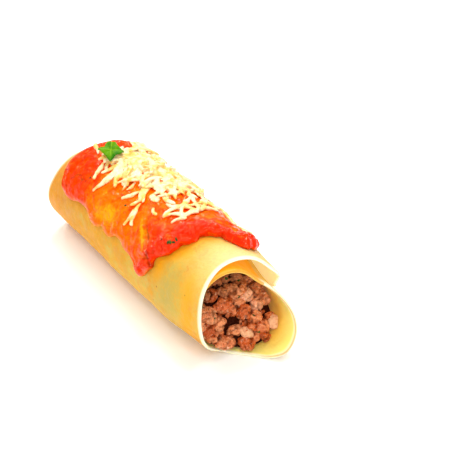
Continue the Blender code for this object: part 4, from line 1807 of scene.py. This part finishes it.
    def laid(self, strip: Piece, shred: Shred, draw: random.Random) -> Piece:
        """Copies the strip and lays it over the roll.

        Args:
            strip: the straight strip.
            shred: where and how it lies.
            draw: the source of its unevenness.

        Returns:
            The laid strip.
        """
        laid = copied(strip)
        side, part, level = points_of(laid).T
        length, phase = shred.length / 1000, draw.uniform(0, math.tau)
        ripple = 1 + 0.16 * np.sin(9 * part + phase) + 0.08 * np.sin(23 * part + 2 * phase)
        taper = (1 - draw.uniform(*self.tapers) * np.abs(2 * part) ** 3) * ripple
        twist = draw.uniform(*self.twists) * part + draw.uniform(*self.rolls)
        wide, thick = side * shred.width / 1000 * taper, level * shred.thickness / 1000 * taper
        run = part * length
        off = wide * np.cos(twist) - thick * np.sin(twist)
        rise = wide * np.sin(twist) + thick * np.cos(twist)
        off += shred.bend * length * (4 * part**2 - 0.4) + 0.00025 * np.sin(7 * part + phase)
        heading = math.radians(shred.heading)
        sine, cosine = math.sin(heading), math.cos(heading)
        angle = math.radians(shred.angle) + (run * sine + off * cosine) / self.form.roll_radius
        y = shred.y / 1000 + run * cosine - off * sine
        height = (self.sauce.top(angle, y) + rise
                  + (shred.lift + shred.tip * (part + 0.5) + 0.4 * shred.thickness) / 1000)
        set_points(laid, self.form.over_roll(angle, y, height))
        return laid

    def limits(self, y: float) -> tuple[float, float]:
        """Roll angles, in degrees, between which the heap lies at a place along the roll."""
        return float(curve_through(self.right_limit, y)), float(curve_through(self.left_limit, y))

    def heap(self) -> list[Shred]:
        """Places the heap's shreds in loose layers, low near the leaf.

        Returns:
            The shreds.
        """
        draw = random.Random(self.heap_seed)
        first, last = self.left_limit[0][0], self.left_limit[-1][0]
        shreds = []
        for index in range(self.count):
            y = first + (last - first) * (index + draw.random()) / self.count
            right, left = self.limits(y)
            across = 0.5 + 0.47 * math.sin(index * 2.4 + draw.uniform(-0.4, 0.4))
            angle = right + (left - right) * across
            if noise.noise(Vector((angle * 0.065, y * 170, 1.7))) < self.bare_below:
                continue
            beside = (math.radians(angle) - Parsley.angle) * self.form.roll_radius
            near_leaf = math.hypot(y - Parsley.y, beside) < self.clear_of_leaf
            middle = 1 - (2 * across - 1) ** 2
            lift = self.layers[0] if near_leaf else draw.choice(self.layers) * (0.4 + 0.6 * middle)
            along = draw.random() < self.main_share
            heading = draw.gauss(*self.main_heading) if along else draw.uniform(0, 180)
            shreds.append(Shred(
                angle, y * 1000, heading,
                draw.uniform(*self.lengths) * (self.shorter_by_leaf if near_leaf else 1),
                draw.uniform(*self.widths), lift,
                0.0 if near_leaf else draw.uniform(*self.tips),
                draw.uniform(*self.bends), draw.uniform(*self.thicknesses),
            ))
        return shreds + list(self.leaf_rest)

    def bed(self) -> Piece:
        """Makes the low bed of melted cheese under the middle of the heap.

        Returns:
            The bed.
        """
        bed = add_slab("cheese_bed", 40, 70)
        unit = points_of(bed)
        first, last = self.left_limit[0][0], self.left_limit[-1][0]
        y = first + self.bed_inset + (last - first - 2 * self.bed_inset) * unit[:, 1]
        right = curve_through(self.right_limit, y) + self.bed_margin
        left = curve_through(self.left_limit, y) - self.bed_margin
        angle = np.radians(right + (left - right) * unit[:, 0])
        edge = np.clip(np.minimum.reduce([unit[:, 0], 1 - unit[:, 0], 2 * unit[:, 1],
                                          2 * (1 - unit[:, 1])]) / 0.3, 0, 1)
        place = np.stack([angle * 6, y * 300, 0 * y + 2], axis=-1)
        rise = np.sqrt(edge) * (self.bed_depth + self.bed_bumps * noise_at(place, 1.0))
        above = np.where(unit[:, 2] > 0.5, np.maximum(0.0003 + rise, -0.0002), -0.0008)
        set_points(bed, self.form.over_roll(angle, y, self.sauce.top(angle, y) + above))
        return bed

    def melted(self, piece: Piece) -> Piece:
        """Runs the touching shreds of a piece softly together.

        Args:
            piece: the joined shreds.

        Returns:
            The same piece.
        """
        outward(piece)
        finish_with(piece, "REMESH", mode="VOXEL", voxel_size=self.voxel)
        finish_with(piece, "SMOOTH", factor=0.5, iterations=1)
        outward(piece)
        return piece

    def build(self) -> tuple[Piece, Piece]:
        """Lays every shred.

        Returns:
            The heap, and the single shreds.
        """
        strip = self.strip()
        draw = random.Random(self.strip_seed)
        heap = [self.bed()] + [self.laid(strip, shred, draw) for shred in self.heap()]
        single = [self.laid(strip, shred, draw) for shred in self.single]
        bpy.data.objects.remove(strip)
        return (self.melted(joined(heap, "grated_cheese")),
                self.melted(joined(single, "single_shreds")))

    def dress(self, heap: Piece, single: Piece) -> None:
        """Gives the heap and the single shreds their finish."""
        material = self.finish.material()
        placed(heap, material, "grated_cheese", "grated_cheese")
        placed(single, material, "grated_cheese", "tomato_sauce")


# -------- the parsley


@dataclass(frozen=True)
class LeafFinish:
    """Fresh parsley: bright green with paler veins, darker patches, and painted shade on its lower
    part.
    """

    bright: Colour = (92, 144, 0)
    dark: Colour = (18, 104, 0)
    vein: Colour = (138, 180, 12)
    patches: Grain = Grain(260, 3, 0.6, low=0.38, high=0.66)
    vein_share: float = 0.5
    skin: Grain = Grain(1300)
    skin_depth: float = 0.00012

    def material(self) -> Material:
        """Makes the finish's material.

        Returns:
            The material.
        """
        mix = Recipe("parsley_leaf")
        colour = mix.blend(mix.mask(self.patches), self.bright, self.dark)
        colour = mix.cover(colour, self.vein, mix.stored("vein"), self.vein_share)
        colour = mix.cover(colour, self.dark, mix.stored("shade"))
        return mix.done({
            "Base Color": colour, "Normal": mix.relief(mix.grain(self.skin), self.skin_depth),
            "Roughness": 0.5, "Specular IOR Level": 0.12, "Subsurface Weight": 0.2,
            "Specular Tint": (0.8, 1.0, 0.4, 1.0),
            "Subsurface Radius": (0.4, 1.0, 0.1), "Subsurface Scale": 0.0012,
        })


@dataclass
class Parsley:
    """One torn parsley leaf that leans on the cheese."""

    angle = math.radians(101)
    y = 0.0335

    form: RollForm
    sauce: Sauce
    finish: LeafFinish = LeafFinish()
    radius: float = 0.0053
    thickness: float = 0.0005
    lift: float = 0.0042
    tilt: float = math.radians(14)
    spin: float = math.radians(58)
    sides: int = 156
    rings: int = 7
    tooth: float = 0.02
    ruffle: float = 0.0005
    vein_width: float = 0.07
    shade_to: Span = (-0.001, -0.0055)
    outline: Curve = (
        (-180, 1.08), (-166, 0.86), (-140, 0.70), (-108, 0.84), (-86, 1.00), (-62, 0.84),
        (-36, 0.78), (-16, 1.00), (-2, 0.84), (14, 0.98), (34, 0.84), (54, 0.60), (70, 0.84),
        (88, 1.02), (108, 0.86), (140, 0.72), (166, 0.86), (180, 1.08),
    )

    def build(self) -> Piece:
        """Cuts the lobed outline from a disc, ruffles it and thickens it.

        Returns:
            The leaf's object.
        """
        deselect()
        bpy.ops.mesh.primitive_circle_add(vertices=self.sides, radius=1, fill_type="TRIFAN")
        leaf = named("parsley_leaf")
        pick(leaf, "EDGE", lambda points: np.min(np.hypot(points[:, 0], points[:, 1])) < 0.5)
        bpy.ops.mesh.subdivide(number_cuts=self.rings - 1)
        bpy.ops.object.mode_set(mode="OBJECT")
        unit = points_of(leaf)
        share, direction = np.hypot(unit[:, 0], unit[:, 1]), np.arctan2(unit[:, 1], unit[:, 0])
        lobes = curve_through(self.outline, np.degrees(direction))
        reach = share * self.radius * (lobes + self.tooth * np.cos(31 * direction))
        height = (self.ruffle * share * np.cos(3 * direction + 0.4)
                  + 0.0003 * np.sin(reach * 700) + 0.0002 * share * np.sin(7 * direction + 1))
        points = np.stack([reach * np.cos(direction), reach * np.sin(direction), height], axis=-1)
        angle, y = np.array([self.angle]), np.array([self.y])
        middle = self.form.over_roll(angle, y, self.sauce.top(angle, y) + self.lift)[0]
        lean = Matrix.Rotation(self.tilt, 3, "X") @ Matrix.Rotation(self.spin, 3, "Z")
        turned = points @ np.array(lean).T
        set_points(leaf, turned + middle)
        mark(
            leaf,
            vein=hump(np.sin(2 * direction) * share, 0.0, self.vein_width),
            shade=smoothstep(*self.shade_to, turned[:, 1]),
        )
        finish_with(leaf, "SOLIDIFY", thickness=self.thickness, offset=0.0)
        refine(leaf, 1)
        outward(leaf)
        return leaf

    def dress(self, leaf: Piece) -> None:
        """Gives the leaf its finish."""
        placed(leaf, self.finish.material(), "parsley_leaf", "parsley_leaf")


# -------- the studio


@dataclass(frozen=True)
class Lamp:
    """One soft lamp: where it stands, what it lights, its size, power and colour."""

    name: str
    place: tuple[float, float, float]
    size: float
    power: float
    tint: tuple[float, float, float]


@dataclass
class Studio:
    """A white table top under soft daylight, seen from the photograph's angle."""

    eye: Vector = field(default_factory=lambda: Vector((-0.2638, -0.4693, 0.3644)))
    target: Vector = field(default_factory=lambda: Vector((0.02817, -0.001795, 0.0200)))
    lens: float = 129.897
    sensor: float = 36.0
    nearest: float = 0.01
    floor_size: float = 6
    floor_drop: float = 0.0002
    floor_colour: tuple[float, float, float, float] = (0.93, 0.94, 0.90, 1.0)
    floor_glow: float = 0.14
    sky: float = 0.40
    lamps: tuple[Lamp, ...] = (
        Lamp("key", (0.17, 0.27, 0.55), 0.15, 1.7, (1.0, 0.98, 0.94)),
        Lamp("overhead", (-0.05, -0.05, 0.70), 0.70, 1.6, (1.0, 1.0, 1.0)),
        Lamp("fill", (-0.30, -0.62, 0.22), 0.40, 1.2, (1.0, 0.98, 0.95)),
    )
    sparkle_size: float = 0.06
    sparkle_power: float = 0.44
    sparkles: Triples = (
        (0.27, 0.43, 0.36), (-0.22, 0.30, 0.50), (-0.03, 0.46, 0.46), (0.02, -0.60, 0.38),
        (0.30, -0.10, 0.50), (-0.30, -0.20, 0.55), (-0.12, -0.45, 0.58), (0.05, 0.10, 0.65),
    )

    def build(self) -> None:
        """Sets up the floor, the sky, the lamps and the camera."""
        deselect()
        bpy.ops.mesh.primitive_plane_add(size=self.floor_size, location=(0, 0, -self.floor_drop))
        floor = named("floor")
        top = Recipe("table_top")
        top.feed(top.shader, {
            "Base Color": self.floor_colour, "Roughness": 0.6,
            "Emission Color": (1.0, 1.0, 1.0, 1.0), "Emission Strength": self.floor_glow,
        })
        floor.data.materials.append(top.material)
        scene = bpy.context.scene
        scene.world = bpy.data.worlds.new("daylight")
        scene.world.use_nodes = True
        sky = scene.world.node_tree.nodes["Background"]
        sky.inputs["Color"].default_value = (1.0, 1.0, 1.0, 1.0)
        sky.inputs["Strength"].default_value = self.sky
        scene.view_settings.view_transform = "Standard"
        small = tuple(
            Lamp(f"sparkle_{index}", place, self.sparkle_size, self.sparkle_power, (1.0, 1.0, 1.0))
            for index, place in enumerate(self.sparkles)
        )
        for lamp in self.lamps + small:
            aim = (Vector((0, 0, 0.02)) - Vector(lamp.place)).to_track_quat("-Z", "Y").to_euler()
            bpy.ops.object.light_add(type="AREA", location=lamp.place, rotation=aim)
            light = bpy.context.object
            light.name = lamp.name
            light.data.size = lamp.size
            light.data.energy = lamp.power
            light.data.color = lamp.tint
        aim = (self.target - self.eye).to_track_quat("-Z", "Y").to_euler()
        bpy.ops.object.camera_add(location=self.eye, rotation=aim)
        camera = bpy.context.object
        camera.name = "camera"
        camera.data.lens = self.lens
        camera.data.sensor_width = self.sensor
        camera.data.clip_start = self.nearest
        scene.camera = camera


def main() -> None:
    """Builds every piece in order."""
    logging.basicConfig(level=logging.INFO, format="%(message)s")
    Studio().build()
    form = RollForm()
    crepe = Crepe(form)
    crepe.dress(crepe.build())
    filling = Filling(form)
    meat = filling.build()
    herbs = Bits(HERB, size=(0.0017, 0.0004, 0.0011), sink=0.0001)
    onions = Bits(ONION, size=(0.0060, 0.0022, 0.0042), sink=0.0006)
    flakes = herbs.build(meat, HERB_SPOTS, Landing.AHEAD)
    onions.dress(onions.build(meat, ONION_SPOTS, Landing.AHEAD))
    filling.dress(meat)
    sauce = Sauce(form)
    topping = sauce.build()
    flakes += herbs.build(topping, SAUCE_HERB_SPOTS, Landing.ABOVE)
    herbs.dress(flakes)
    sauce.dress(topping)
    cheese = Cheese(form, sauce)
    cheese.dress(*cheese.build())
    parsley = Parsley(form, sauce)
    parsley.dress(parsley.build())


if __name__ == "__main__":
    main()
